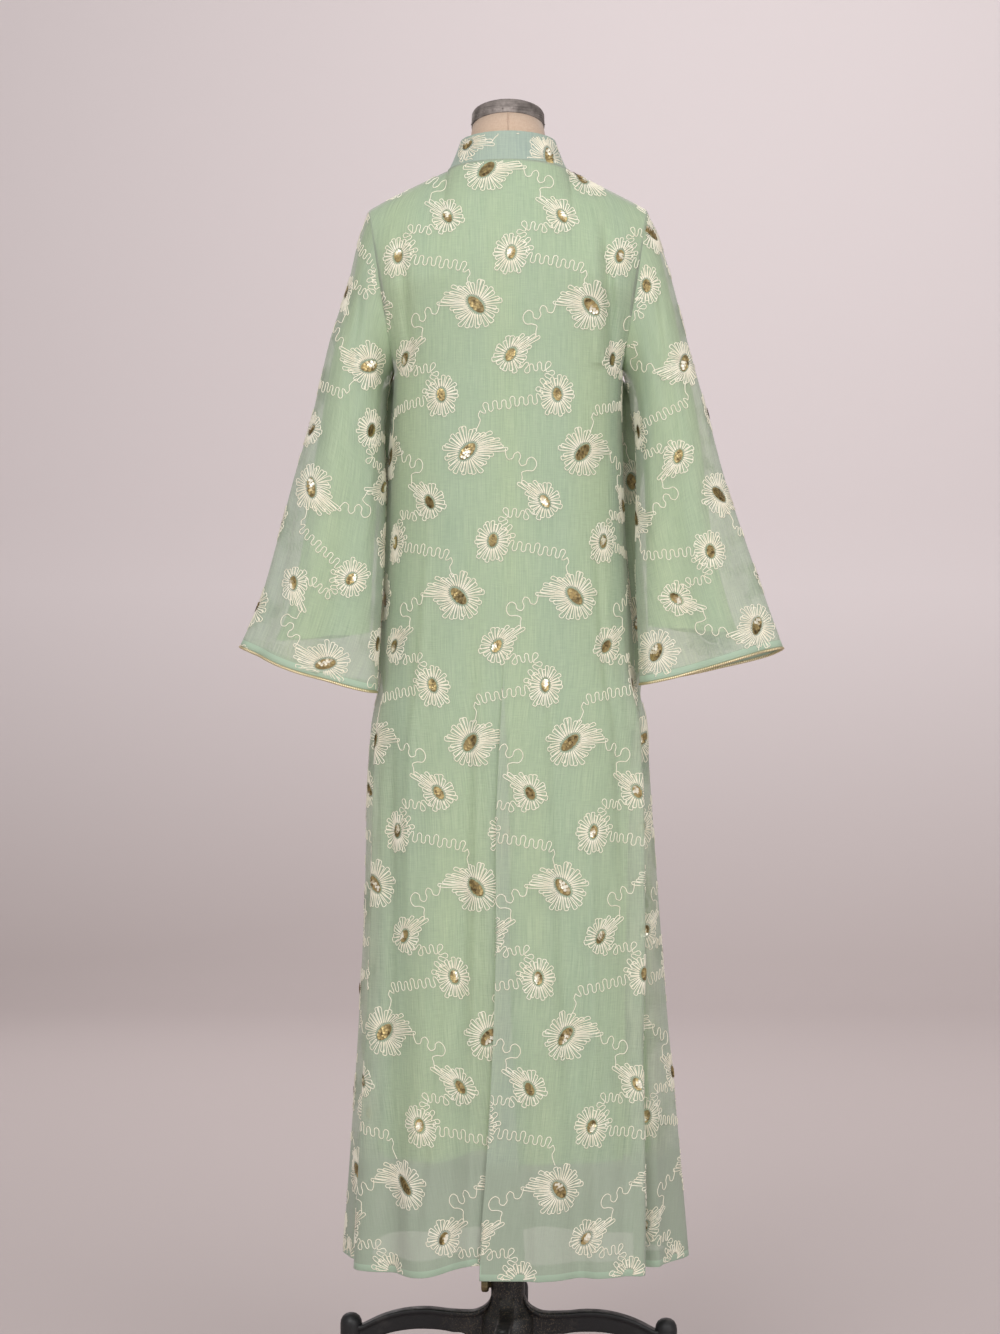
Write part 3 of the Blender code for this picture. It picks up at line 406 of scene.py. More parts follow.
UNIT = 0.001257
CHAIN_PITCH = 0.1480
ROW_PITCH = 0.1835
CHAIN_STEP = 113.0
CORD_WIDTH = 0.00124
CORD_RISE = 0.0011
CORD_FOOT = 0.0002
DAISIES = table(
    "x y petals radius tall tail tail_angle over under long_angle eye_long eye_short",
    (0, 0, 31, 23.5, 1, 14.5, 174, -26, 10, -46, 10.6, 5.4),
    (-79, 50, 22, 16.5, 1.04, 13.5, 33, 28, -11, 58, 7.2, 3.9),
    (-28, 89, 24, 16.5, 1.12, 3.5, 285, 60, -60, 100, 6.8, 3.9),
)

# One petal of cord: places across it, as shares of its width, and along it, from the eye to its tip
PETAL_ACROSS = (-0.5, -0.3, -0.32, -0.36, -0.39, -0.41, -0.34, -0.15, 0.15, 0.34, 0.41, 0.39, 0.36, 0.32, 0.3)
PETAL_ALONG = (0, 0.1, 0.34, 0.58, 0.78, 0.9, 0.97, 1, 1, 0.97, 0.9, 0.78, 0.58, 0.34, 0.1)

# Charted bends of the cord from the large daisy's tail to the small daisy, with its curl
TAIL_CORD = (
    (-38, -2.5), (-38.5, 3), (-41, 8), (-45, 7.5), (-47.5, 2.5), (-51, 1), (-53.5, 5), (-52, 10.5),
    (-54.5, 14.5), (-59, 13), (-60.5, 8), (-64.5, 6), (-68.5, 9), (-69.5, 14.5), (-66, 19.5), (-60, 19.5),
    (-55, 21.5), (-55.5, 26), (-55, 32),
)

# Base lines that the waved cords run along: small daisy to round daisy, and round daisy to the next row
WAVES = table(
    "line swing length",
    (
        ((-68, 58), (-60, 64), (-51, 62), (-42, 61), (-37, 67), (-41, 76), (-46.5, 82), (-45, 90)),
        4.7, 7.8,
    ),
    (((-44, 93), (-54, 95), (-68, 97), (-84, 100), (-98, 103), (-104, 106)), 5.0, 8.6),
)
LINK_CORD = ((-104, 106), (-105.5, 110.5), (-103, 115), (-104, 120), (-106.5, 126))

# Rows of large daisies: height, which way the tail points, and the place of one daisy
ROW_COLUMNS = "down mirror place"
BACK_ROWS = table(
    ROW_COLUMNS,
    (0.443, 1, 0.12),
    (0.2475, -1, 0.1287),
    (0.07, 1, 0.1136),
    (-0.114, -1, 0.1023),
    (-0.296, 1, 0.0913),
    (-0.48, -1, 0.096),
    (-0.661, 1, 0.096),
    (-0.847, -1, 0.1065),
    (-1.036, 1, 0.1188),
    (-1.222, -1, 0.119),
)


def even_rows(count, top, mirror, place, next_place):
    """Rows one pitch apart, mirrored by turns, with a place for the even rows and one for the odd."""
    rows = [(top - ROW_PITCH * n, mirror * (-1) ** n, next_place if n % 2 else place) for n in range(count)]
    return table(ROW_COLUMNS, *rows)


FRONT_ROWS = even_rows(9, 0.225, -1.0, 0.074, 0.074)
SLEEVE_ROWS = even_rows(6, ROW_PITCH, 1.0, 0.142, 0.0)
COLLAR_ROWS = even_rows(3, ROW_PITCH, -1.0, -0.142, 0.0)

# Where the chart starts on each piece, how far it is turned there, and its scale
Placing = namedtuple("Placing", "rows s t turn scale")
PLACINGS = {
    "back": Placing(BACK_ROWS, 0.0, 0.0, 0.0, 1.0),
    "front_left": Placing(FRONT_ROWS, 0.0, 0.0, 0.0, 1.0),
    "front_right": Placing(FRONT_ROWS, 0.0, 0.0, 0.0, 1.0),
    "sleeve_left": Placing(SLEEVE_ROWS, 0.1330, 0.012, math.radians(163.6), 0.96),
    "sleeve_right": Placing(SLEEVE_ROWS, -0.0400, 0.034, math.radians(180.5), 0.95),
    "collar": Placing(COLLAR_ROWS, 0.0570, 0.0075, math.radians(-41.0), 1.0),
}

# Eyes: the rings of their domes, and the rings of sequins as their radius and number
DOME_RINGS, DOME_SPOKES, DOME_HEIGHT = np.array([0.0, 0.45, 0.8, 1.0]), 14, 0.0011
SEQUIN_RINGS = ((0.36, 5), (0.70, 10))
SEQUIN_SIZE, SEQUIN_SIDES, SEQUIN_LIFT, SEQUIN_RIM_LIFT = 0.0023, 7, 0.0013, 0.00025
# Share of eyes whose sequins get a painted highlight patch
LIT_SHARE = 0.68

# Numbers and curves


def smooth_at(knots, values, at):
    """Cubic curve through knots and values: each piece is a cubic with the mean slopes of its two ends."""
    knots, values = np.asarray(knots, float), np.asarray(values, float)
    slope = np.gradient(values, knots)
    low = np.clip(np.searchsorted(knots, at, side="right") - 1, 0, len(knots) - 2)
    width = knots[low + 1] - knots[low]
    share = np.clip((at - knots[low]) / width, 0.0, 1.0)
    square, cube = share**2, share**3
    from_low = (2 * cube - 3 * square + 1) * values[low] + (cube - 2 * square + share) * width * slope[low]
    return from_low + (3 * square - 2 * cube) * values[low + 1] + (cube - square) * width * slope[low + 1]


def column(rows, name):
    return np.array([getattr(row, name) for row in rows])


def table_at(rows, name, height):
    """One column of a table, read smoothly at each height."""
    return smooth_at(column(rows, "height"), column(rows, name), height)


def between(start, end, share):
    return start + (end - start) * share


def ease(value):
    """0 to 1 with level ends: 3 v^2 - 2 v^3."""
    value = np.clip(value, 0.0, 1.0)
    return value * value * (3.0 - 2.0 * value)


def bell(away, spread):
    """exp(-(away / spread)^2)."""
    return np.exp(-((away / spread) ** 2))


def wrapped(value, period=1.0):
    """The value less whole periods, within half a period of 0."""
    return np.mod(value + period / 2, period) - period / 2


def rounded(value, power=PLAN_POWER):
    """sign(v) |v|^(2/p)."""
    return np.sign(value) * np.abs(value) ** (2.0 / power)


def circle(count):
    """Angles at even steps round a full turn."""
    return np.linspace(0.0, TURN, count, endpoint=False)


def join(*parts):
    """Coordinates brought to one shape and joined as a last axis."""
    return np.stack(np.broadcast_arrays(*parts), -1)


def round_points(count):
    """Points at even steps round the unit circle."""
    return join(np.cos(circle(count)), np.sin(circle(count)))


def unit(vectors):
    return vectors / np.maximum(np.linalg.norm(vectors, axis=-1, keepdims=True), 1e-12)


def running_length(grid):
    """Length run along a path, or along each row of a grid, from 0 at its first point."""
    steps = np.linalg.norm(np.diff(grid, axis=-2), axis=-1)
    return np.concatenate([np.zeros_like(steps[..., :1]), np.cumsum(steps, axis=-1)], axis=-1)


def rings_round(middle, radius, angle, first, second):
    """Circles round each middle: middle + radius (cos(angle) first + sin(angle) second)."""
    middle, first, second = (np.asarray(vector)[..., None, :] for vector in (middle, first, second))
    return middle + radius * (np.cos(angle)[:, None] * first + np.sin(angle)[:, None] * second)


def quadrant_shares():
    """Share of a quarter girth against angle, for the rounded plan."""
    angle = np.linspace(0.0, math.pi / 2, 2000)
    plan = join(MEAN_HALF_WIDTH * rounded(np.cos(angle)), MEAN_HALF_DEPTH * rounded(np.sin(angle)))
    length = running_length(plan)
    return length / length[-1], angle


QUADRANT_SHARE, QUADRANT_ANGLE = quadrant_shares()


def plan_angle(around):
    """Angle in the plan for a share of the girth, evenly spaced along the cloth."""
    quarter = np.mod(around, 1.0) * 4.0
    number = np.floor(quarter)
    share = quarter - number
    rising = np.interp(share, QUADRANT_SHARE, QUADRANT_ANGLE)
    falling = math.pi / 2 - np.interp(1.0 - share, QUADRANT_SHARE, QUADRANT_ANGLE)
    return number * math.pi / 2 + np.where(number % 2 == 0, rising, falling)


# The garment's surfaces


def plan_point(around, height, inset):
    """Rounded plan: x = width cos^(2/p), y = depth sin^(2/p), with its own width or depth on each side."""
    angle = plan_angle(around)
    side, depth = rounded(-np.cos(angle)), rounded(np.sin(angle))
    left, right, back, front = (table_at(BODY_RINGS, name, height) for name in BODY_RINGS[0]._fields[1:])
    wide, deep = np.where(side < 0, left, right), np.where(depth > 0, back, front)
    return join(side * (wide - inset), -depth * (deep - inset))


def tube_point(around, height, inset=0.0, share=1.0, fine=True):
    """The hanging tube: the plan, moved out and sideways by bell-shaped folds that grow towards the hem.

    The deep fold at the centre back moves the cloth along itself by a full sine wave, so that the cloth
    runs right, back left and right again, each layer a little further out than the last.
    """
    base = plan_point(around, height, inset)
    along = unit(plan_point(around + PROBE, height, inset) - plan_point(around - PROBE, height, inset))
    outward = join(-along[..., 1], along[..., 0])
    outward = outward * np.sign(np.sum(outward * base, -1, keepdims=True))
    out, sideways = np.zeros((2, *height.shape))
    for fold in BODY_FOLDS:
        grown = np.clip((fold.starts - height) / (fold.starts - HEM_Z), 0.0, 1.15) ** 1.2
        strength = bell(wrapped(around - fold.around), fold.spread) * grown * share
        out = out + strength * fold.depth
        sideways = sideways + strength * fold.lean
    for fold in SIDE_FOLDS:
        strength = ease((fold.top - height) / fold.rise) * ease((height - fold.low) / 0.10)
        out = out + bell(wrapped(around - fold.around), fold.spread) * strength * fold.depth
    for crease in SIDE_TROUGHS + (BODY_CREASES if fine else ()):
        down = (crease.top - height) / (crease.top - crease.low)
        middle = between(crease.top_around, crease.low_around, np.clip(down, 0.0, 1.0))
        strength = ease(down * 3.0) * ease((1.25 - down) * 3.0)
        out = out + bell(wrapped(around - middle), crease.spread) * strength * crease.depth
    overlap = table_at(PLEAT_ROWS, "overlap", height) * share
    inside = np.clip((around - PLEAT_AROUND) / (2.0 * PLEAT_HALF) + 0.5, 0.0, 1.0)
    sideways = sideways + overlap * np.sin(TURN * inside)
    layer = np.clip(overlap / PLEAT_FULL, 0.0, 1.0) * PLEAT_DEPTH * share
    out = out + layer * (inside - 0.5) * bell(around - PLEAT_AROUND, PLEAT_FADE)
    flat = base + out[..., None] * outward + sideways[..., None] * along
    return np.concatenate([flat, height[..., None]], -1)


def neck_point(turn, facing):
    """The neck seam from the left neck point, turn 0, to the right one, turn pi."""
    centre_y, centre_z = NECK_CENTRES[facing]
    sweep = np.maximum(np.sin(turn), 0.0)
    return join(-NECK_X * np.cos(turn), centre_y * sweep, between(NECK_Z, centre_z, sweep**1.5))


def top_edge(across, facing):
    """Shoulder seam, neck seam, shoulder seam, for across running from 0 to 1."""
    share = np.clip(np.minimum(across, 1.0 - across) / SHOULDER_SHARE, 0.0, 1.0)
    side = np.where(across < 0.5, -1.0, 1.0)
    middle = np.clip((across - SHOULDER_SHARE) / (1.0 - 2 * SHOULDER_SHARE), 0.0, 1.0)
    x, z = between(SHOULDER_X, NECK_X, share), between(SHOULDER_Z, NECK_Z, share**SHOULDER_BOW)
    return np.where((share < 1.0)[..., None], join(side * x, 0.0, z), neck_point(middle * math.pi, facing))


def upper_point(across, facing, share):
    """Above the armpit: cross sections that pass from the armpit ring into the shoulder and neck seams."""
    profile = PROFILES[facing]
    top_z, seam_y = profile[-1]
    angle = plan_angle(across / 2.0)
    side, depth = rounded(np.cos(angle)), np.abs(rounded(np.sin(angle)))
    target = top_edge(across, facing)
    rise = 0.5 - 0.5 * np.cos(math.pi * share)
    turn_over = 1.0 - np.sqrt(np.maximum(1.0 - rise**3, 0.0))
    x = -side * between(ARMPIT_X, SHOULDER_X, rise) + rise**2 * (target[..., 0] + side * SHOULDER_X)
    edge_y = facing * ARMHOLE_HALF_DEPTH * np.sin(math.pi * share)
    centre_z = between(ARMPIT_Z, top_z, rise)
    centre_y = facing * table_at(profile, "depth", centre_z)
    power = 1.0 + 3.0 * (1.0 - ease(rise / 0.45))
    y = edge_y * (1.0 - depth) ** power + centre_y * depth
    y = y + turn_over * (target[..., 1] - facing * seam_y * depth)
    z = between(between(ARMPIT_Z, SHOULDER_Z, rise), centre_z, depth)
    z = z + rise**1.3 * (target[..., 2] - between(SHOULDER_Z, top_z, depth))
    for line in (line for line in DRAG_LINES if line.facing == facing):
        run = np.array([line.end_x - line.start_x, line.end_z - line.start_z])
        length = np.hypot(*run)
        run = run / length
        down = ((x - line.start_x) * run[0] + (z - line.start_z) * run[1]) / length
        off = (x - line.start_x) * run[1] - (z - line.start_z) * run[0]
        strength = ease(down * 2.5) * ease((1.3 - down) * 2.5) * bell(off, line.spread)
        y = y + facing * line.depth * strength * (1.0 - turn_over)
    return join(x, y, z)


# Rows of the body's cloth and of its lining, below and above the armpits
BODY_ROWS, LINING_ROWS = (112, 72), (56, 40)


def body_grid(across, facing, lower_rows, upper_rows, lining=False):
    """A whole back or front: rows from the hem to the armpit, then rows up to the shoulder and neck seams."""
    around = across / 2.0 if facing == BACK else 1.0 - across / 2.0
    lift = HEM_LIFT_HEIGHT * bell(around - HEM_LIFT_AROUND, HEM_LIFT_SPREAD)
    hem = (LINING_HEM_Z if lining else HEM_Z) + lift * (around < HEM_LIFT_END)
    height = between(hem, ARMPIT_Z, np.linspace(0.0, 1.0, lower_rows)[:, None])
    wide = np.broadcast_to(around, height.shape)
    across, rise = np.meshgrid(across, np.linspace(0.0, 1.0, upper_rows + 1)[1:])
    upper = upper_point(across, facing, rise)
    if not lining:
        return np.concatenate([tube_point(wide, height), upper])
    grown = np.clip((LINING_FOLDS_FROM_Z - height) / (LINING_FOLDS_FROM_Z - HEM_Z), 0.0, 1.0)
    inset = between(LINING_INSET, LINING_INSET_AT_HEM, grown)
    seam = between(LINING_INSET, LINING_SEAM_INSET, np.linspace(0.0, 1.0, upper_rows) ** 8)
    upper = upper - outward_normals(upper, ORIGIN) * seam[:, None, None]
    return np.concatenate([tube_point(wide, height, inset, LINING_FOLD_SHARE, False), upper])


def outward_normals(grid, middle=None):
    """Normals from the grid's differences, turned away from the middle of each row or the given middle."""
    normal = unit(np.cross(np.gradient(grid, axis=1), np.gradient(grid, axis=0)))
    middle = grid.mean(axis=1, keepdims=True) if middle is None else middle
    return normal * np.sign(np.sum((normal * (grid - middle))[..., :2], -1).mean())


def sleeve_point(side, angle, share, inset=0.0, folds=SLEEVE_FOLDS):
    """A sleeve: ovals between its outer and inner edges, swung to the back, whose folds grow downwards."""
    columns = np.array(SLEEVES[side]).T
    read = (smooth_at(np.linspace(0.0, 1.0, len(values)), values, share) for values in columns)
    outer_x, outer_z, inner_x, inner_z, half_depth, swing = read
    cosine, sine = np.cos(angle), np.sin(angle)
    middle = join(side * (outer_x + inner_x) / 2, -swing, (outer_z + inner_z) / 2)
    reach = join(side * (outer_x - inner_x) / 2, 0.0, (outer_z - inner_z) / 2)
    cuff = CUFFS[side]
    tip = cuff.drop * np.clip(0.5 + 0.9 * cosine, 0.0, 1.2) * share - cuff.bow * sine * share**3
    arm = cosine[..., None] * reach + sine[..., None] * join(0.0, -half_depth, tip)
    out = -inset
    for fold in folds:
        down = np.clip((share - fold.starts) / (min(fold.ends, 1.0) - fold.starts), 0.0, 1.0)
        away = wrapped(np.degrees(angle) - between(fold.top_angle, fold.low_angle, down), 360.0)
        strength = down if fold.ends > 1.0 else ease(down * 3.0) * ease((1.0 - down) * 3.0)
        out = out + bell(away, fold.spread) * strength * fold.depth
    return middle + arm + unit(arm) * out[..., None]


# Meshes

# Material of each finish
FINISHES = {}


def grid_faces(rows, columns, wrap=False):
    """Four-cornered faces of a grid, row by row."""
    index = np.arange(rows * columns).reshape(rows, columns)
    if wrap:
        index = np.concatenate([index, index[:, :1]], axis=1)
    return np.stack([index[:-1, :-1], index[:-1, 1:], index[1:, 1:], index[1:, :-1]], -1).reshape(-1, 4)


def repeated(faces, times, points_each):
    """The same faces for each of several like groups of points."""
    return (faces[None] + (np.arange(times) * points_each)[:, None, None]).reshape(-1, faces.shape[1])


def add_object(name, data):
    thing = bpy.data.objects.new(name, data)
    bpy.context.scene.collection.objects.link(thing)
    return thing


def add_mesh(name, points, faces, material, smooth=True):
    """A mesh object from points and a list of arrays of faces."""
    mesh = bpy.data.meshes.new(name)
    mesh.from_pydata(points.reshape(-1, 3).tolist(), [], [face for block in faces for face in block.tolist()])
    mesh.materials.append(material)
    if smooth:
        mesh.shade_smooth()
    return add_object(name, mesh)


def make_piece(name, points, faces, finish, flat=None, replaces=(), outward=None, body="form", smooth=True):
    """A mesh piece at the origin, with an optional flat position for each point as its UV map.

    Where outward vectors are given, the faces are turned over if the first array's don't face along them.
    """
    points = points.reshape(-1, 3)
    if outward is not None:
        corners = points[faces[0]]
        facing = np.cross(corners[:, 1] - corners[:, 0], corners[:, 3] - corners[:, 0])
        if np.sum(facing * outward.reshape(-1, 3)[faces[0][:, 0]]) <= 0:
            faces = [block[:, ::-1] for block in faces]
    piece = add_mesh(name, points, faces, FINISHES[finish], smooth)
    if flat is not None:
        mesh = piece.data
        corner = np.empty(len(mesh.loops), np.int32)
        mesh.loops.foreach_get("vertex_index", corner)
        uv = np.asarray(flat, np.float32).reshape(-1, 2)[corner]
        mesh.uv_layers.new(name="cloth").data.foreach_set("uv", uv.ravel())
    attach(piece, body)
    if replaces:
        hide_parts(*replaces)
    return piece


def tube_piece(name, line, radius, first, second, sides, finish, replaces=()):
    """A circle swept along a line; its flat position is the turn round it and the length along it in mm."""
    turn = circle(sides)
    tube = rings_round(line, radius, turn, first, second)
    flat = join(turn / TURN, running_length(line)[:, None] * 1000.0)
    faces = [grid_faces(*tube.shape[:2], True)]
    return make_piece(name, tube, faces, finish, flat, replaces, tube - line[:, None])


class Sheet:
    """A cloth surface as a grid, with its flat cloth position (s along a row, t up the cloth) at each point.

    The chart of the embroidery is laid on even rows: the grid's columns cut at equal steps of the levels,
    such as height, with s measured along each cut from the starting column.
    """

    LEVEL_STEP = 0.004
    SAMPLE_STEP = 0.001
    EDGE = 0.0012

    def __init__(self, grid, normals, start, levels):
        self.grid, self.normals = grid, normals
        along = running_length(grid)
        self.s = along - along[:, start : start + 1]
        self.rise = running_length(grid[:, grid.shape[1] // 2])
        self.t = np.arange(levels.min(), levels.max(), self.LEVEL_STEP)
        rows, columns = np.arange(len(grid)), np.arange(grid.shape[1])
        place = np.stack([np.interp(self.t, levels[:, column], rows) for column in columns], axis=1)
        valid = (self.t[:, None] >= levels[0]) & (self.t[:, None] <= levels[-1])
        valid[:, start] |= ~valid.any(axis=1)
        first = valid.argmax(axis=1)[:, None]
        last = len(columns) - 1 - valid[:, ::-1].argmax(axis=1)[:, None]
        chosen = np.clip(columns[None], first, last)
        place = np.take_along_axis(place, chosen, axis=1)
        low = np.clip(np.floor(place).astype(int), 0, len(rows) - 2)
        part = (place - low)[..., None]
        self.even = between(grid[low, chosen], grid[low + 1, chosen], part)
        self.even_normals = unit(between(normals[low, chosen], normals[low + 1, chosen], part))
        along = running_length(self.even)
        missed = np.where(valid[:, start], 0.0, self.even[:, start, 0] - grid[0, start, 0])
        self.even_s = along - along[:, start : start + 1] + missed[:, None]
        self.low_s = self.even_s.min()
        self.samples = np.arange(self.low_s, self.even_s.max() + self.SAMPLE_STEP, self.SAMPLE_STEP)
        self.column_at = np.array([np.interp(self.samples, row, columns) for row in self.even_s])

    def flat(self):
        return join(self.s, self.rise[:, None])

    def area(self):
        across = np.diff((self.grid[1:] + self.grid[:-1]) / 2.0, axis=1)
        up = np.diff((self.grid[:, 1:] + self.grid[:, :-1]) / 2.0, axis=0)
        return float(np.linalg.norm(np.cross(across, up), axis=-1).sum())

    def lay(self, s, t):
        """Points, normals and a mask of what lies on the cloth, for flat positions s and t."""
        row = np.interp(t, self.t, np.arange(len(self.t)))
        low = np.clip(np.floor(row).astype(int), 0, len(self.t) - 2)
        part = row - low
        place = np.clip((s - self.low_s) / self.SAMPLE_STEP, 0.0, len(self.samples) - 1.001)
        left = np.floor(place).astype(int)
        ends = ((self.column_at[cut, left], self.column_at[cut, left + 1]) for cut in (low, low + 1))
        across = between(*(between(*pair, place - left) for pair in ends), part)
        first = np.clip(np.floor(across).astype(int), 0, self.even.shape[1] - 2)
        share = (across - first)[:, None]

        def read(values):
            cuts = (between(values[cut, first], values[cut, first + 1], share) for cut in (low, low + 1))
            return between(*cuts, part[:, None])

        from_s, to_s = (between(self.even_s[low, end], self.even_s[low + 1, end], part) for end in (0, -1))
        on = (s > from_s + self.EDGE) & (s < to_s - self.EDGE)
        on = on & (t > self.t[0] + self.EDGE) & (t < self.t[-1] - self.EDGE)
        return read(self.even), unit(read(self.even_normals)), on


# Embroidery


def daisy_path(daisy, lean):
    """One cord that runs out and back for each petal, round the eye.

    Petals stand at even steps along the outline, whose radius is r + tail * exp(-(angle / spread)^2), with a
    spread of its own on each side of the tail. In a petal the cord is a narrow loop with a round end.
    """
    angle = np.linspace(0.0, TURN, 720)
    away = wrapped(np.degrees(angle) - daisy.tail_angle, 360.0)
    spread = np.where(away * daisy.over > 0, abs(daisy.over), abs(daisy.under))
    outline = daisy.radius * (1.0 + (daisy.tall - 1.0) * np.sin(angle) ** 2)
    outline = outline + daisy.tail * bell(away, spread)
    swept = daisy.tail > 10.0
    crowded = outline * (1.0 + 0.45 * swept * bell(away, 1.3 * spread))
    length = np.concatenate([[0.0], np.cumsum((crowded[1:] + crowded[:-1]) / 2.0 * np.diff(angle))])
    number = np.arange(daisy.petals)
    edges = np.interp(np.arange(daisy.petals + 1) / daisy.petals * length[-1], length, angle)
    middle, width = (edges[1:] + edges[:-1]) / 2.0, np.diff(edges)[:, None]
    across, along = np.array(PETAL_ACROSS), np.array(PETAL_ALONG)
    uneven = 1.0 + 0.075 * np.sin(number * 2.4 + lean) + 0.065 * np.sin(number * 5.1 + 2.0 * lean)
    sway = 0.24 * np.sin(number * 3.7 + lean) + 0.12 * np.sin(number * 1.3 + 3.0 * lean)
    theta = middle[:, None] + width * (across + sway[:, None] * along)
    from_tail = wrapped(middle - math.radians(daisy.tail_angle), TURN)
    theta = theta + (0.75 * swept * from_tail * bell(from_tail, 0.75))[:, None] * (1.0 - along)
    reach = (np.interp(middle, angle, outline) * uneven)[:, None]
    tilt = theta - math.radians(daisy.long_angle)
    long, short = daisy.eye_long + 1.4, daisy.eye_short + 1.7
    eye = long * short / np.hypot(short * np.cos(tilt), long * np.sin(tilt))
    radius = between(eye, reach, along)
    return join(radius * np.cos(theta), radius * np.sin(theta)).reshape(-1, 2)


def through(points, count):
    """A smooth curve through charted points, by cubic pieces along their running length."""
    points = np.array(points, float)
    length = running_length(points)
    at = np.linspace(0.0, length[-1], count)
    return join(*(smooth_at(length, values, at) for values in points.T))


def waved(wave):
    """A cord that winds along a base line: out by swing sin(k), back along by a fifth of it times sin(2k)."""
    base = through(wave.line, 400)
    length = running_length(base)
    waves = max(2, round(length[-1] / wave.length))
    count = waves * 12 + 1
    at = np.linspace(0.0, length[-1], count)
    middle = join(*(np.interp(at, length, values) for values in base.T))
    run = unit(np.gradient(middle, axis=0))
    off = join(-run[:, 1], run[:, 0])
    turn = np.linspace(0.0, TURN * waves, count)
    ends = np.minimum(1.0, np.minimum(at, length[-1] - at) / 3.0)
    swing = wave.swing * ends * (1.0 + 0.16 * np.sin(turn * 0.37) + 0.10 * np.sin(turn * 0.61 + 1.0))
    return middle + off * (swing * np.sin(turn))[:, None] - run * (0.20 * swing * np.sin(2.0 * turn))[:, None]


# The cords of one repeat, in chart units, with y turned to point up
REPEAT_CORDS = [daisy_path(daisy, 1.0 + number) + (daisy.x, -daisy.y) for number, daisy in enumerate(DAISIES)]
REPEAT_CORDS += [
    line * (1.0, -1.0) for line in (through(TAIL_CORD, 64), *map(waved, WAVES), through(LINK_CORD, 14))
]


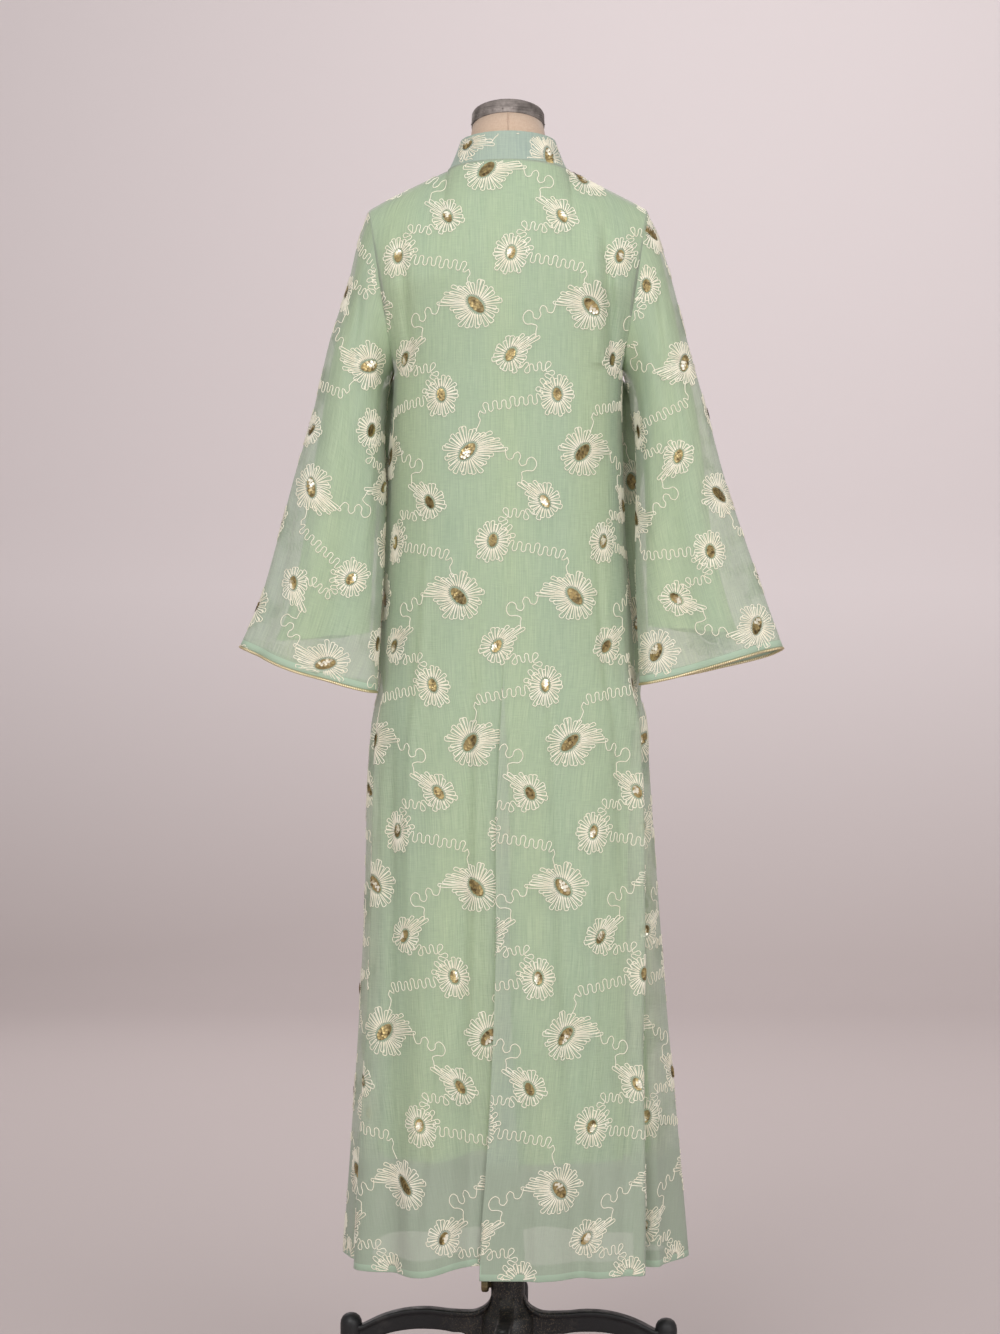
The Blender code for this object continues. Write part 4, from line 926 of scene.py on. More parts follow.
class Embroidery:
    """Collects cords and eyes on a sheet, then makes them as two pieces."""

    def __init__(self, sheet, placing):
        self.sheet, self.placing = sheet, placing
        self.paths, self.eyes = [], []
        rows = placing.rows
        for row, following in zip(rows, rows[1:] + rows[-1:]):
            apart = following.place - row.place + row.mirror * CHAIN_STEP * UNIT
            drift = apart - CHAIN_PITCH * round(apart / CHAIN_PITCH)
            for number in range(-6, 7):
                self.add_repeat(row.place + number * CHAIN_PITCH, row.down, row.mirror, drift)

    def add_repeat(self, across, down, mirror, drift):
        """One repeat, its large daisy at across, down. Its lower end drifts to meet the next row."""
        placing = self.placing
        cosine, sine = placing.scale * math.cos(placing.turn), placing.scale * math.sin(placing.turn)

        def place(points):
            x, y = points.T * UNIT
            x, y = across + mirror * x + drift * np.clip(-y / ROW_PITCH, 0.0, 1.0), down + y
            return join(placing.s + x * cosine - y * sine, placing.t + x * sine + y * cosine)

        self.paths += [place(cord) for cord in REPEAT_CORDS]
        for daisy in DAISIES:
            centre = place(np.array([[daisy.x, -daisy.y]]))[0]
            tilt = math.radians(daisy.long_angle) * mirror + placing.turn
            self.eyes.append((*centre, tilt, daisy.eye_long * UNIT, daisy.eye_short * UNIT))

    def cord_piece(self, name):
        """Every cord as a raised ribbon of three rails: both edges on the cloth and a crown above them."""
        flat = np.concatenate(self.paths)
        path = np.repeat(np.arange(len(self.paths)), [len(cord) for cord in self.paths])
        point, normal, on = self.sheet.lay(*flat.T)
        ahead, behind = (
            np.where((np.roll(path, way) == path)[:, None], np.roll(point, way, 0), point) for way in (-1, 1)
        )
        side = unit(np.cross(normal, unit(ahead - behind))) * CORD_WIDTH / 2
        step = np.linalg.norm(point - behind, axis=1)
        foot = point + normal * CORD_FOOT
        rails = np.stack([foot - side, point + normal * CORD_RISE, foot + side], axis=1)
        same = (path[:-1] == path[1:]) & on[:-1] & on[1:] & (step[1:] < 0.025)
        start = np.nonzero(same)[0] * 3
        strip = join(start, start + 3, start + 4, start + 1)
        used, faces = np.unique(np.concatenate([strip, strip + 1]), return_inverse=True)
        uv = join(np.array([0.0, 0.5, 1.0]), np.cumsum(step)[:, None] * 1000.0)
        faces = faces.reshape(-1, 4)[:, ::-1]
        return make_piece(name, rails.reshape(-1, 3)[used], [faces], "cord", uv.reshape(-1, 2)[used])

    def eye_piece(self, name, seed):
        """Each eye: a low oval dome, under sequins that lie in rings and tip a little each way."""
        eyes = np.array(self.eyes)
        eyes = eyes[self.sheet.lay(eyes[:, 0], eyes[:, 1])[2]]
        local = (DOME_RINGS[:, None, None] * round_points(DOME_SPOKES)).reshape(-1, 2)
        height = np.repeat(DOME_HEIGHT * np.sqrt(1.0 - 0.95 * DOME_RINGS**2), DOME_SPOKES)
        point, normal = self.on_eyes(eyes, local)
        dome = (point + normal * height[:, None]).reshape(-1, 3)
        dome_faces = repeated(grid_faces(len(DOME_RINGS), DOME_SPOKES, True), len(eyes), len(local))

        random = np.random.default_rng(seed)
        rings = [radius * round_points(count) for radius, count in SEQUIN_RINGS]
        spots = np.concatenate([[(0.0, 0.0)], *rings])
        point, normal = self.on_eyes(eyes, spots)
        centre = point + normal * (SEQUIN_LIFT - 0.0004 * np.linalg.norm(spots, axis=1))[:, None]
        first = unit(np.cross(normal, (0.13, 0.21, 1.0)))
        together = random.uniform(-0.30, 0.30, (2, len(eyes), 1, 1))
        tilt = together + random.uniform(-0.13, 0.13, (2,) + centre.shape[:2])[..., None]
        normal = unit(normal + first * tilt[0] + np.cross(normal, first) * tilt[1])
        first = unit(np.cross(normal, (0.13, 0.21, 1.0)))
        size = np.minimum(SEQUIN_SIZE, eyes[:, 4] * 0.46)[:, None, None, None]
        raised = centre + SEQUIN_RIM_LIFT * normal
        disc = rings_round(raised, size, circle(SEQUIN_SIDES), first, np.cross(normal, first))
        disc_points = np.concatenate([centre[:, :, None], disc], axis=2).reshape(-1, 3)
        rim = np.arange(1, SEQUIN_SIDES + 1)
        number = len(eyes) * len(spots)
        disc_faces = repeated(join(0, rim, np.roll(rim, -1)), number, SEQUIN_SIDES + 1)
        # Painted highlights: on about two eyes in three a bright patch round a random spot, with random
        # specks on every disc, carried to the sequins' colour by the UV's second number.
        glint = random.uniform(-0.6, 0.6, (len(eyes), 1, 2))
        strength = np.where(random.uniform(0.0, 1.0, (len(eyes), 1)) < LIT_SHARE, 1.05, 0.10)
        painted_shine = strength * bell(np.linalg.norm(spots[None] - glint, axis=-1), 0.56)
        painted_shine = np.clip(painted_shine + 0.44 * random.uniform(0.0, 1.0, painted_shine.shape), 0.0, 1.0)
        disc_uv = join(1.0, np.repeat(painted_shine.ravel(), SEQUIN_SIDES + 1))
        points, uv = np.concatenate([dome, disc_points]), np.concatenate([np.zeros((len(dome), 2)), disc_uv])
        faces = [dome_faces, disc_faces + len(dome)]
        return make_piece(name, points, faces, "sequins", uv, smooth=False)

    def on_eyes(self, eyes, local):
        """Points and normals on the cloth for places inside each eye, given as shares of its two radii."""
        cosine, sine = np.cos(eyes[:, 2])[:, None], np.sin(eyes[:, 2])[:, None]
        x, y = local[:, 0] * eyes[:, 3:4], local[:, 1] * eyes[:, 4:5]
        s, t = eyes[:, 0:1] + x * cosine - y * sine, eyes[:, 1:2] + x * sine + y * cosine
        point, normal, _ = self.sheet.lay(s.ravel(), t.ravel())
        return point.reshape(*s.shape, 3), normal.reshape(*s.shape, 3)


# Finishes


class Value:
    """A socket's number, on which arithmetic adds Math nodes."""

    def __init__(self, finish, socket):
        self.finish = finish
        self.socket = socket

    def math(self, operation, *values):
        return self.finish.node("ShaderNodeMath", {"operation": operation}, dict(enumerate(values)))

    def __add__(self, other):
        return self.math("ADD", self, other)

    def __sub__(self, other):
        return self.math("SUBTRACT", self, other)

    def __rsub__(self, other):
        return self.math("SUBTRACT", other, self)

    def __mul__(self, other):
        return self.math("MULTIPLY", self, other)

    def __pow__(self, other):
        return self.math("POWER", self, other)

    def sine(self):
        return self.math("SINE", self)

    __radd__ = __add__
    __rmul__ = __mul__


def tinted(color, *shares):
    """A colour with each of its parts multiplied, by one share or by three."""
    return tuple(part * share for part, share in zip(color, shares * 3))


class Finish:
    """A material with a Principled shader, and short ways to add what varies over it."""

    def __init__(self, name, **fixed):
        self.material = bpy.data.materials.new(name)
        self.material.use_nodes = True
        self.tree = self.material.node_tree
        self.shader = self.tree.nodes["Principled BSDF"]
        for socket, value in fixed.items():
            self.shader.inputs[socket.replace("_", " ")].default_value = value

    def node(self, kind, settings=None, sockets=None, out=0):
        node = self.tree.nodes.new(kind)
        for name, value in (settings or {}).items():
            setattr(node, name, value)
        for name, value in (sockets or {}).items():
            if isinstance(value, Value):
                self.tree.links.new(value.socket, node.inputs[name])
            else:
                node.inputs[name].default_value = value
        return Value(self, node.outputs[out])

    def place(self, source):
        """The cloth's flat position for UV, or the place in the object for Object."""
        return self.node("ShaderNodeTexCoord", out=source)

    def axis(self, source, name):
        return self.node("ShaderNodeSeparateXYZ", None, {0: self.place(source)}, out=name)

    def noise(self, source, scale, detail=3.0, roughness=0.5):
        """Noise at one scale, or stretched by three scales."""
        place = self.place(source)
        if isinstance(scale, tuple):
            place, scale = self.node("ShaderNodeMapping", None, {"Vector": place, "Scale": scale}), 1.0
        sockets = {"Vector": place, "Scale": scale, "Detail": detail, "Roughness": roughness}
        return self.node("ShaderNodeTexNoise", None, sockets)

    def spread(self, value, low, high, to_low=0.0, to_high=1.0):
        sockets = {0: value, 1: low, 2: high, 3: to_low, 4: to_high}
        return self.node("ShaderNodeMapRange", None, sockets)

    def mix(self, factor, first, second):
        first, second = (color if isinstance(color, Value) else (*color, 1.0) for color in (first, second))
        return self.node("ShaderNodeMix", {"data_type": "RGBA"}, {0: factor, 6: first, 7: second}, out=2)

    def done(self, color, bump=None, **varied):
        """Feeds the shader and gives the material; bump is a height with its strength and distance."""
        varied["Base Color"] = color
        if bump:
            sockets = dict(zip(("Height", "Strength", "Distance"), bump))
            varied["Normal"] = self.node("ShaderNodeBump", None, sockets)
        for socket, value in varied.items():
            self.tree.links.new(value.socket, self.shader.inputs[socket])
        return self.material


def voile_finish(name, tint, alpha, band=0.0, low_alpha=0.0):
    """Sheer voile: fine upright slubs and a faint crosswise thread, which vary its tone and how it covers.

    Tall soft columns are a little warmer where the cloth touches its lining, and painted cooler and darker
    where it hangs free, as painted shade in the gap between cloth and lining.
    Up to the band's height the cloth is doubled by its hem, so it is greener and covers more. Where a low
    alpha is given, the cloth covers more below the lining's hem, where nothing lies behind it, and is painted
    darker there, as painted shade of the garment's shaded inside seen through it.
    """
    finish = Finish(name, Roughness=0.72, Sheen_Weight=0.25, Sheen_Roughness=0.5, Specular_IOR_Level=0.25)
    upright = finish.noise("UV", (900.0, 22.0, 1.0), 3.0, 0.62)
    crosswise = finish.noise("UV", (60.0, 1100.0, 1.0), 2.0, 0.6)
    cloudy = finish.noise("UV", (9.0, 5.0, 1.0), 2.0, 0.5)
    hanging = finish.spread(finish.noise("UV", (17.0, 1.5, 1.0), 1.5, 0.4), 0.34, 0.66)
    weave = finish.spread(upright * 0.68 + crosswise * 0.32, 0.36, 0.64)
    tone = finish.spread(weave * 0.75 + cloudy * 0.25, 0.15, 0.85)
    dark, light = tinted(tint, 0.92), tinted(tint, 1.07)
    # Painted shade: where the cloth hangs free of its lining, its colour is painted cooler and darker.
    cooler = finish.mix(tone, tinted(dark, 0.91, 0.945, 1.005), tinted(light, 0.96))
    warmer = finish.mix(tone, dark, tinted(light, 1.075, 1.05, 0.975))
    cloth = finish.mix(hanging, cooler, warmer)
    cover = finish.spread(weave * 0.85 - hanging * 0.15, -0.15, 0.85, alpha - 0.08, alpha + 0.07)
    if band:
        height = finish.axis("UV", "Y")
        if low_alpha:
            # Painted shade: below the lining's hem the cloth is painted darker, for the shaded inside of the
            # garment.
            unlined_painted_shade = finish.spread(height, 0.132, 0.150, 1.0, 0.0)
            cover = cover + unlined_painted_shade * (low_alpha - alpha)
            cloth = finish.mix(unlined_painted_shade, cloth, tinted(tint, 0.76))
        hem = finish.spread(height, band - 0.0006, band, 1.0, 0.0)
        cloth = finish.mix(hem, cloth, HEM_TINT)
        cover = cover + hem * (0.88 - cover)
    return finish.done(cloth, (weave, 0.35, 0.0004), Alpha=cover)


def lining_finish():
    finish = Finish("lining_cloth", Roughness=0.55, Sheen_Weight=0.15, Specular_IOR_Level=0.35)
    threads = finish.noise("UV", (900.0, 60.0, 1.0), 3.0, 0.55)
    tone = finish.spread(threads * 0.5 + finish.noise("UV", (6.0, 3.0, 1.0), 2.0) * 0.5, 0.3, 0.7)
    return finish.done(finish.mix(tone, (0.42, 0.615, 0.285), (0.50, 0.695, 0.345)), (threads, 0.15, 0.0002))


def cord_finish():
    """Twisted cream cord: slanting turns of thread along its length, with its edges painted dark green as
    painted shade where the cord meets the cloth.
    """
    finish = Finish("cream_cord", Roughness=0.62, Sheen_Weight=0.2, Specular_IOR_Level=0.3)
    across, along = finish.axis("UV", "X"), finish.axis("UV", "Y")
    turn = (along * 3.6 + across * 2.4).sine()
    tone = finish.spread(turn * 0.3 + finish.noise("Object", 55.0, 2.0), 0.25, 0.85)
    thread = finish.mix(tone, (0.91, 0.84, 0.67), (0.98, 0.95, 0.83))
    # Painted shade: the cord's edges are painted dark green, for the shade in the crevices beside the raised
    # cord.
    crown = finish.spread(1.0 - (across * 2.0 - 1.0) ** 2, 0.00, 0.42)
    return finish.done(finish.mix(crown, (0.34, 0.38, 0.21), thread), (turn, 0.35, 0.0003))


def sequin_finish():
    """Gold sequins over a dull olive-gold pad: the UV's first number tells them apart, the second is a
    painted highlight that turns the discs from dark gold to bright pale gold.
    """
    finish = Finish("gold_sequins", Specular_IOR_Level=0.6)
    disc, tint = finish.axis("UV", "X"), finish.axis("UV", "Y")
    specks = finish.spread(finish.noise("Object", 620.0, 2.0), 0.35, 0.65)
    pad = finish.mix(specks, (0.145, 0.106, 0.038), (0.37, 0.280, 0.115))
    # Painted highlight and reflection: the second UV number paints each disc from dark to mid gold and, where
    # high, bright pale gold.
    bright = finish.spread(tint, 0.50, 0.80)
    dull = finish.mix(finish.spread(tint, 0.02, 0.42), (0.125, 0.090, 0.034), (0.50, 0.375, 0.160))
    metallic = finish.spread(disc - bright * 0.7, 0.0, 1.0, 0.15, 0.55)
    roughness = finish.spread(disc + bright, 0.0, 2.0, 0.55, 0.22)
    gold = finish.mix(disc, pad, finish.mix(bright, dull, (1.00, 0.96, 0.80)))
    return finish.done(gold, Metallic=metallic, Roughness=roughness)


def piping_finish():
    finish = Finish("gold_piping", Roughness=0.38, Metallic=0.75)
    turn = (finish.axis("UV", "Y") * 2.6 + finish.axis("UV", "X") * 6.283).sine()
    gold = finish.mix(finish.spread(turn, -1.0, 1.0), (0.50, 0.37, 0.17), (1.00, 0.90, 0.62))
    return finish.done(gold, (turn, 0.5, 0.0004))


def linen_finish():
    finish = Finish("linen", Roughness=0.85, Sheen_Weight=0.2, Specular_IOR_Level=0.2)
    warp = finish.noise("Object", (1400.0, 1400.0, 160.0), 3.0, 0.6)
    weave = warp * 0.5 + finish.noise("Object", (160.0, 160.0, 1500.0), 3.0, 0.6) * 0.5
    tone = finish.spread(weave * 0.7 + finish.noise("Object", 14.0) * 0.3, 0.35, 0.65)
    return finish.done(finish.mix(tone, (0.53, 0.360, 0.250), (0.67, 0.525, 0.413)), (weave, 0.4, 0.0004))


def metal_finish(name, dark, light, roughness, metallic, grain):
    """Worn metal: blotches of dull and bright, fine scratches, and grime in its roughness."""
    finish = Finish(name, Metallic=metallic)
    blotches = finish.noise("Object", 60.0, 5.0, 0.6)
    scratches = finish.noise("Object", (30.0, 30.0, 900.0), 3.0, 0.6)
    tone = finish.spread(blotches * 0.65 + scratches * 0.35, 0.36, 0.66)
    grime = finish.spread(blotches, 0.3, 0.7, roughness + 0.14, roughness - 0.08)
    height = blotches * 0.6 + scratches * 0.4
    return finish.done(finish.mix(tone, dark, light), (height, grain, 0.0006), Roughness=grime)


def iron_finish():
    """Black cast iron: pitted skin, worn enamel that shows dull grey on its blotches, rust near the hub."""
    finish = Finish("cast_iron", Specular_IOR_Level=0.5)
    pits = finish.noise("Object", 420.0, 4.0, 0.6)
    cast = finish.noise("Object", 70.0, 4.0, 0.55)
    patch = finish.spread(finish.noise("Object", 26.0, 4.0, 0.65), 0.52, 0.70)
    away = finish.axis("Object", "X") ** 2.0 + finish.axis("Object", "Y") ** 2.0
    specks = finish.spread(finish.noise("Object", 520.0), 0.54, 0.62)
    rust = specks * finish.spread(away, 0.009, 0.0008, 0.0, 0.75)
    enamel = finish.mix(patch, (0.014, 0.014, 0.015), (0.060, 0.057, 0.055))
    iron = finish.mix(rust, enamel, (0.130, 0.100, 0.070))
    metallic = finish.spread(patch, 0.0, 1.0, 0.15, 0.55)
    roughness = finish.spread(cast, 0.3, 0.7, 0.36, 0.60)
    height = pits * 0.35 + cast * 0.65
    return finish.done(iron, (height, 0.55, 0.0012), Metallic=metallic, Roughness=roughness)


def paper_finish():
    """Plain pale paper with painted shade: a little darker towards the floor."""
    finish = Finish("pale_paper", Roughness=0.9)
    height = finish.spread(finish.axis("Object", "Z"), 0.1, 1.3)
    return finish.done(finish.mix(height, (0.520, 0.452, 0.446), (0.755, 0.683, 0.690)))


# Cloth pieces

CLOTH = {}
SEWN_ON = {}


def cloth_piece(name, sheet, finish, hem=False):
    """The shell of a sheet, with its hem turned up inside: rows from the top of the band down to its fold."""
    grid, normals, flat = sheet.grid, sheet.normals, sheet.flat()
    if hem:
        band_row = max(2, round(HEM_BAND / (sheet.rise[1] - sheet.rise[0])))
        gap = HEM_FOLD_GAP * normals
        fold = grid[0] - gap[0] / 2 - (0.0, 0.0, 0.0003)
        turned_up = [grid[band_row] - gap[band_row], (grid[0] + grid[1]) / 2 - gap[0], fold]
        below = flat[:1] - join(0.0, np.array([0.024, 0.012, 0.002]))[:, None]
        grid, flat = np.concatenate([turned_up, grid]), np.concatenate([below, flat])
        normals = np.concatenate([normals[:1]] * 3 + [normals])
    replaced = ["back_panel" if name == "back" else name]
    faces = [grid_faces(*grid.shape[:2])]
    CLOTH[name] = (make_piece(f"{name}_shell", grid, faces, finish, flat, replaced, normals), sheet, 1.0)


def make_body():
    """The back, both fronts with their slit, and the lining; columns are closer together in the deep fold."""
    low, high = (2.0 * (PLEAT_AROUND + way * PLEAT_HALF * 1.2) for way in (-1, 1))
    whole = np.r_[np.linspace(0.0, low, 84), np.linspace(low, high, 49)[1:], np.linspace(high, 1.0, 94)[1:]]
    half = np.linspace(0.0, 0.5, 111)
    sheets = {}
    for name, facing, columns, start in (
        ("back", BACK, whole, int(np.abs(whole - 2.0 * PLEAT_AROUND).argmin())),
        ("front_left", FRONT, half, len(half) - 1),
        ("front_right", FRONT, 1.0 - half[::-1], 0),
    ):
        grid = body_grid(columns, facing, *BODY_ROWS)
        if facing == FRONT:
            slit_height = NECK_CENTRES[FRONT][1] - SLIT_BOTTOM_Z
            grown = np.clip((grid[:, start, 2] - SLIT_BOTTOM_Z) / slit_height, 0.0, 1.0)
            grid[:, start, 0] = (RIGHT if start == 0 else LEFT) * (SEAM_HALF_GAP + SLIT_HALF_WIDTH * grown)
        sheets[name] = Sheet(grid, outward_normals(grid, ORIGIN), start, grid[..., 2] - ARMPIT_Z)
        cloth_piece(name, sheets[name], "voile", hem=True)
    for name, facing in (("lining_back", BACK), ("lining_front", FRONT)):
        grid = body_grid(np.linspace(0.0, 1.0, 97), facing, *LINING_ROWS, lining=True)
        cloth_piece(name, Sheet(grid, outward_normals(grid, ORIGIN), 48, grid[..., 2]), "lining")
    return sheets


def make_sleeves():
    """Each sleeve with the gold cord under its cuff's fold, and its lining, set in more at the outer edge."""
    sheets = {}
    for word, side in (("left", LEFT), ("right", RIGHT)):
        turn, down = np.meshgrid(-side * np.linspace(-math.pi, math.pi, 129), np.linspace(1.0, 0.0, 104))
        grid = sleeve_point(side, turn, down)
        normals = outward_normals(grid)
        cuff = SLEEVES[side][-1]
        up = unit(np.array([side * (cuff.inner_z - cuff.outer_z), 0.0, cuff.outer_x - cuff.inner_x]))
        name = f"sleeve_{word}"
        sheets[name] = Sheet(grid, normals, 64, (grid - grid[0, 64]) @ up)
        cloth_piece(name, sheets[name], "sleeve", hem=True)
        edge = grid[0] - normals[0] * HEM_FOLD_GAP * 0.5
        below, inward = unit(grid[0] - grid[1]), unit(edge.mean(axis=0) - edge)
        line = edge + below * (PIPING_RADIUS + 0.0004)
        trim = (f"piping_{word}", line, PIPING_RADIUS, below, inward, 8, "piping", [f"cuff_piping_{word}"])
        SEWN_ON[name] = [tube_piece(*trim)]

        turn, down = np.meshgrid(-side * np.linspace(-math.pi, math.pi, 65), np.linspace(1.0, 0.0, 56))
        down = down * (SLEEVE_LINING_LENGTH + SLEEVE_LINING_SLANT * np.cos(turn))
        inset = np.minimum(SLEEVE_LINING_INSET, LINING_SEAM_INSET + down * 0.05)
        outer = ease((down - 0.38) / 0.52) * np.maximum(np.cos(turn), 0.0) ** 2
        inset = inset + SLEEVE_LINING_OUTER[side] * outer
        grid = sleeve_point(side, turn, down, inset, SLEEVE_LINING_FOLDS)
        sheet = Sheet(grid, outward_normals(grid), 32, grid[..., 2] - 0.4 * np.abs(grid[..., 0]))
        cloth_piece(f"sleeve_lining_{word}", sheet, "lining")
    return sheets


def make_collar():
    """A stand collar of doubled cloth: up the outside, over a round edge and down the inside."""
    count, rows = 72, 13
    front = neck_point(np.linspace(math.pi, 0.0, count + 1), FRONT)
    back = neck_point(np.linspace(0.0, math.pi, 2 * count + 1), BACK)
    base = np.concatenate([front[count // 2 : -1], back, front[1 : count // 2 + 1]])
    deeper = {facing: COLLAR_TOP_DEPTHS[facing] / NECK_CENTRES[facing][0] for facing in (BACK, FRONT)}
    grown = join(COLLAR_TOP_X / NECK_X, np.where(base[:, 1] < 0, deeper[BACK], deeper[FRONT]), 1.0)
    top = base * grown + (0.0, 0.0, COLLAR_HEIGHT)
    for edge in (base, top):
        edge[0, 0], edge[-1, 0] = -SLIT_HALF_WIDTH, SLIT_HALF_WIDTH
    share = np.linspace(0.0, 1.0, rows)[:, None, None]
    outer = between(base, top, join(share[..., 0] ** 0.8, share[..., 0] ** 0.8, share[..., 0]))
    normals = outward_normals(outer, ORIGIN)
    normals[..., 2] = 0.0
    normals = unit(normals)
    normals[:, (0, -1), 0] = 0.0
    normals = unit(normals)
    over = np.linspace(0.0, math.pi, 6)[1:-1, None, None]
    inwards = (0.5 - 0.5 * np.cos(over)) * normals[-1]
    rim = outer[-1] + COLLAR_CLOTH * (0.35 * np.sin(over) * (0.0, 0.0, 1.0) - inwards)
    grid = np.concatenate([outer, rim, outer[::-1] - normals[::-1] * COLLAR_CLOTH])
    outward = np.concatenate([normals, np.repeat(normals[-1:], len(rim), axis=0), -normals[::-1]])
    levels = np.broadcast_to(share[..., 0] * COLLAR_HEIGHT, outer.shape[:2])
    sheet = Sheet(outer, normals, len(base) // 2, levels)
    flat = sheet.flat()
    flat = np.concatenate([flat, np.repeat(flat[-1:], len(rim), axis=0), flat[::-1]])
    faces = [grid_faces(*grid.shape[:2])]
    piece = make_piece("collar_shell", grid, faces, "collar", flat, ["collar"], outward)
    CLOTH["collar"] = (piece, sheet, 2.0)
    return sheet


def embroider(sheets):
    """Cords and eyes on each sheet, each with a random seed of its own."""
    for seed, (name, sheet) in enumerate(sheets.items(), 3):
        work = Embroidery(sheet, PLACINGS[name])
        pieces = [work.cord_piece(f"cords_{name}"), work.eye_piece(f"eyes_{name}", seed)]
        SEWN_ON[name] = SEWN_ON.get(name, []) + pieces


def declare_cloth():
    """Works out each cut piece's flat size: its widest row by its longest column, and the area of its
    surface; nothing is done with them.
    """
    for name, (piece, sheet, layers) in CLOTH.items():
        wide = float(running_length(sheet.grid)[:, -1].max())
        tall = float(running_length(sheet.grid.transpose(1, 0, 2))[:, -1].max()) * layers
        area = min(sheet.area() * layers, wide * tall)
        held = "folded" if name == "collar" else "hung"


# Dress form and stand


def closed_loft(name, rings, finish, replaces=(), body="form"):
    """A closed body through rings: grid faces, and a fan of triangles over each end."""
    rows, columns = rings.shape[:2]
    count = rows * columns
    here = np.arange(columns)
    after = np.roll(here, -1)
    low, high = join(after, here, count), join(here + count - columns, after + count - columns, count + 1)
    points = np.concatenate([rings.reshape(-1, 3), rings[[0, -1]].mean(axis=1)])
    outward = rings - rings.mean(axis=1, keepdims=True)
    faces = [grid_faces(rows, columns, True), low, high]
    make_piece(name, points, faces, finish, None, replaces, outward, body)


def turned(profile, sides, reach=0.0, turn=0.0):
    """Rings round an upright axis at some reach and turn from the middle, from pairs of height and radius."""
    height, radius = np.array(profile).T[..., None]
    x, y = reach * math.cos(turn), reach * math.sin(turn)
    return join(x + radius * np.cos(circle(sides)), y + radius * np.sin(circle(sides)), height)


def arm_rings(turn):
    """An arched arm: its section, a web under a rounded lip, is carried outwards from the hub.

    Near the hub the top rises by a quarter circle, r (1 - sqrt(1 - u^2)), as a cast fillet.
    """
    reach = np.r_[np.linspace(ARM_START, ARM_BEND, 18), np.linspace(ARM_BEND, ARM_END, 42)[1:]][:, None]
    stations = column(ARM_STATIONS, "reach")
    top, bottom = (smooth_at(stations, column(ARM_STATIONS, name), reach) for name in ("top", "bottom"))
    fillet = np.clip((FILLET_END - reach) / FILLET_RUN, 0.0, 1.0)
    top = top + FILLET_RISE * (1.0 - np.sqrt(1.0 - fillet**2))
    half, from_top, up = np.array(ARM_SECTION).T
    height = between(bottom, top, from_top) + up
    height = np.concatenate([height, height[:, ::-1]], axis=1)
    across = np.concatenate([half, -half[::-1]])
    cosine, sine = math.cos(turn), math.sin(turn)
    return join(reach * cosine - across * sine, reach * sine + across * cosine, height)


def make_stand():
    """The cast stand, its brass screw and the steel post, each as smooth turned or swept metal."""
    up = np.linspace(0.0, 1.0, 10)
    flare = join(FLARE_Z + FLARE_HEIGHT * up, FLARE_RADIUS + FLARE_WIDTH * (1.0 - up) ** 2.2)
    hub = turned((*HUB_FOOT, *flare, *HUB_RIM), METAL_SIDES)
    closed_loft("hub_casting", hub, "iron", ["stand_hub"], "stand")
    for number, degrees in enumerate(ARM_ANGLES, 1):
        turn = math.radians(degrees)
        closed_loft(f"arm_{number}", arm_rings(turn), "iron", [f"stand_arm_{number}"], "stand")
        leg = turned(LEG_PROFILE, LEG_SIDES, ARM_REACH, turn)
        closed_loft(f"leg_{number}", leg, "iron", [f"stand_leg_{number}"], "stand")
    bolt = turned(BOLT_PROFILE, BOLT_SIDES, BOLT_REACH, math.radians(ARM_ANGLES[2]))
    closed_loft("arm_bolt", bolt, "iron", (), "stand")
    closed_loft("post_tube", turned(POST_PROFILE, METAL_SIDES), "post", ["form_post"])

    angle = circle(METAL_SIDES)
    place, radius, knurl = np.array(SCREW_PROFILE).T[..., None]
    ring = radius - knurl * (0.5 + 0.5 * np.cos(KNURLS * angle))
    screw = join(place, ring * np.cos(angle), SCREW_Z + ring * np.sin(angle))
    closed_loft("thumb_screw", screw, "brass", ["clamp_screw"], "clamp")


def tilted_rings(angle, radius, up):
    """Round rings on planes along the neck's axis, which dips towards the front."""
    along = np.array([0.0, math.cos(NECK_TILT), -math.sin(NECK_TILT)])
    return rings_round(NECK_TOP + NECK_AXIS * up, radius, angle, (1.0, 0.0, 0.0), along)


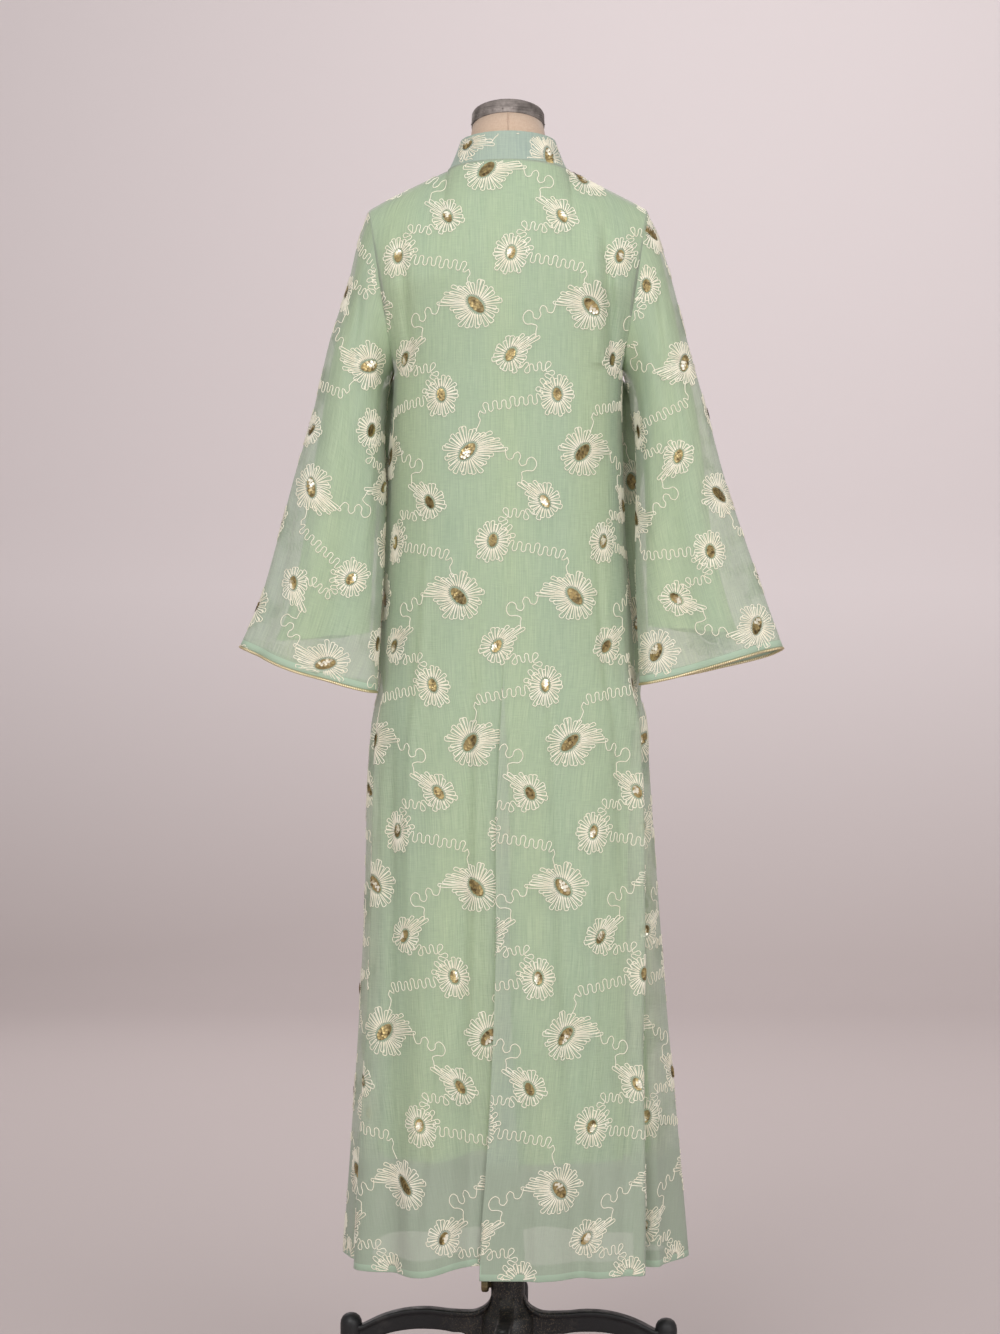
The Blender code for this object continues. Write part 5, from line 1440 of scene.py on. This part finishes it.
def make_form():
    """The torso: rounded ovals through the table, fine enough to look turned, and a cap of spun metal."""
    angle = circle(FORM_SIDES)
    height = FORM_HEIGHTS[:, None]
    wide, back, front, power = (table_at(FORM_RINGS, name, height) for name in FORM_RINGS[0]._fields[1:])
    side, depth = rounded(np.cos(angle), power), rounded(np.sin(angle), power)
    rings = join(side * wide, depth * np.where(depth < 0, back, front), height)
    rings = np.concatenate([rings, tilted_rings(angle, NECK_TOP_RADIUS, 0.0)[None]])
    closed_loft("torso", rings, "linen", ["form_torso"])

    for name, share, facing in (("seam_back", 0.75, BACK), ("seam_front", 0.25, FRONT)):
        line = rings[:, round(share * FORM_SIDES)] + (0.0, 0.0006 * facing, 0.0)
        run = unit(np.gradient(line, axis=0))
        first = unit(np.cross(run, (0.03, 1.0, 0.07)))
        tube_piece(name, line, WELT_RADIUS, first, np.cross(run, first), 6, "linen")

    cap = np.array([tilted_rings(circle(CAP_SIDES), row.radius, row.up) for row in CAP_PROFILE])
    closed_loft("cap", cap, "cap", ["neck_cap"])

    centres = tilted_rings(circle(TACK_COUNT), max(column(CAP_PROFILE, "radius")), TACK_UP)
    outward = unit(centres - NECK_TOP - NECK_AXIS * TACK_UP)
    first = unit(np.cross(outward, NECK_AXIS))
    second = np.cross(outward, first)
    tacks = np.stack([
        rings_round(centres + outward * row.lift, TACK_RADIUS * row.share, circle(TACK_SIDES), first, second)
        for row in TACK_PROFILE
    ], axis=1)
    faces = repeated(grid_faces(*tacks.shape[1:3], True), TACK_COUNT, len(TACK_PROFILE) * TACK_SIDES)
    outward = np.broadcast_to(outward[:, None, None], tacks.shape)
    make_piece("cap_tacks", tacks, [faces], "cap", outward=outward)


# Studio

WALL_Y = 5.8
WALL_HEIGHT = 10.0
FLOOR_REACH = 16.0
COVE_RADIUS = 1.6
WORLD_LIGHT = 0.41
FORM_MIDDLE = (0.0, 0.0, 1.15)

# Place, aim, size and power of each light
LIGHTS = {
    "key": ((-1.15, -3.4, 2.8), FORM_MIDDLE, 1.8, 71.0),
    "fill": ((2.1, -3.4, 1.9), FORM_MIDDLE, 2.4, 56.0),
    "top": ((0.2, -0.4, 3.8), FORM_MIDDLE, 2.0, 9.0),
    "wall": ((1.2, 1.6, 4.2), (0.5, WALL_Y, 1.8), 3.0, 112.0),
    "front": ((-1.3, 3.8, 2.6), FORM_MIDDLE, 2.4, 20.0),
}

# The camera looks level along +Y; its focal length and picture height are in pixels
CAMERA_PLACE = (-0.0104, -3.3, 1.02)
FOCAL_LENGTH, PICTURE_HEIGHT = 2540.0, 1334.0


def make_studio():
    """A seamless pale sheet: level floor, a quarter-round cove and an upright wall behind the form."""
    turn = np.linspace(0.0, math.pi / 2, 24)
    cove = join(WALL_Y - COVE_RADIUS * (1.0 - np.sin(turn)), COVE_RADIUS * (1.0 - np.cos(turn)))
    profile = np.concatenate([[[-FLOOR_REACH, 0.0]], cove, [[WALL_Y, WALL_HEIGHT]]])[:, None]
    grid = join(np.linspace(-FLOOR_REACH, FLOOR_REACH, 3), profile[..., 0], profile[..., 1])
    add_mesh("paper_sheet", grid, [grid_faces(*grid.shape[:2])], paper_finish())

    scene = bpy.context.scene
    scene.world = bpy.data.worlds.new("studio")
    scene.world.use_nodes = True
    sky = scene.world.node_tree.nodes["Background"]
    sky.inputs["Color"].default_value = (1.0, 0.965, 0.95, 1.0)
    sky.inputs["Strength"].default_value = WORLD_LIGHT
    for name, (place, towards, size, power) in LIGHTS.items():
        light = bpy.data.lights.new(name, "AREA")
        light.size, light.energy = size, power
        lamp = add_object(name, light)
        lamp.location = place
        lamp.visible_camera = False
        x, y, z = np.subtract(towards, place)
        lamp.rotation_euler = (math.atan2(math.hypot(x, y), -z), 0.0, math.atan2(y, x) - math.pi / 2)

    camera = bpy.data.cameras.new("camera")
    camera.sensor_width = 36.0
    camera.lens = FOCAL_LENGTH * camera.sensor_width / PICTURE_HEIGHT
    camera.clip_end = 100.0
    scene.camera = add_object("camera", camera)
    scene.camera.location = CAMERA_PLACE
    scene.camera.rotation_euler = (math.pi / 2, 0.0, 0.0)
    scene.view_settings.view_transform = "Standard"


def main():
    tint = (0.525, 0.613, 0.477)
    FINISHES.update(
        voile=voile_finish("mint_voile", tint, 0.60, HEM_BAND, 0.84),
        sleeve=voile_finish("sleeve_voile", tint, 0.60, HEM_BAND),
        collar=voile_finish("collar_voile", (0.410, 0.500, 0.418), 0.94),
        lining=lining_finish(),
        cord=cord_finish(),
        sequins=sequin_finish(),
        piping=piping_finish(),
        linen=linen_finish(),
        cap=metal_finish("cap_metal", (0.13, 0.112, 0.102), (0.40, 0.350, 0.325), 0.56, 0.60, 0.4),
        post=metal_finish("post_steel", (0.030, 0.030, 0.034), (0.085, 0.082, 0.080), 0.42, 0.7, 0.25),
        brass=metal_finish("screw_brass", (0.20, 0.15, 0.075), (0.52, 0.43, 0.25), 0.40, 0.85, 0.3),
        iron=iron_finish(),
    )
    embroider({**make_body(), **make_sleeves(), "collar": make_collar()})
    make_form()
    make_stand()
    declare_cloth()
    make_studio()


main()
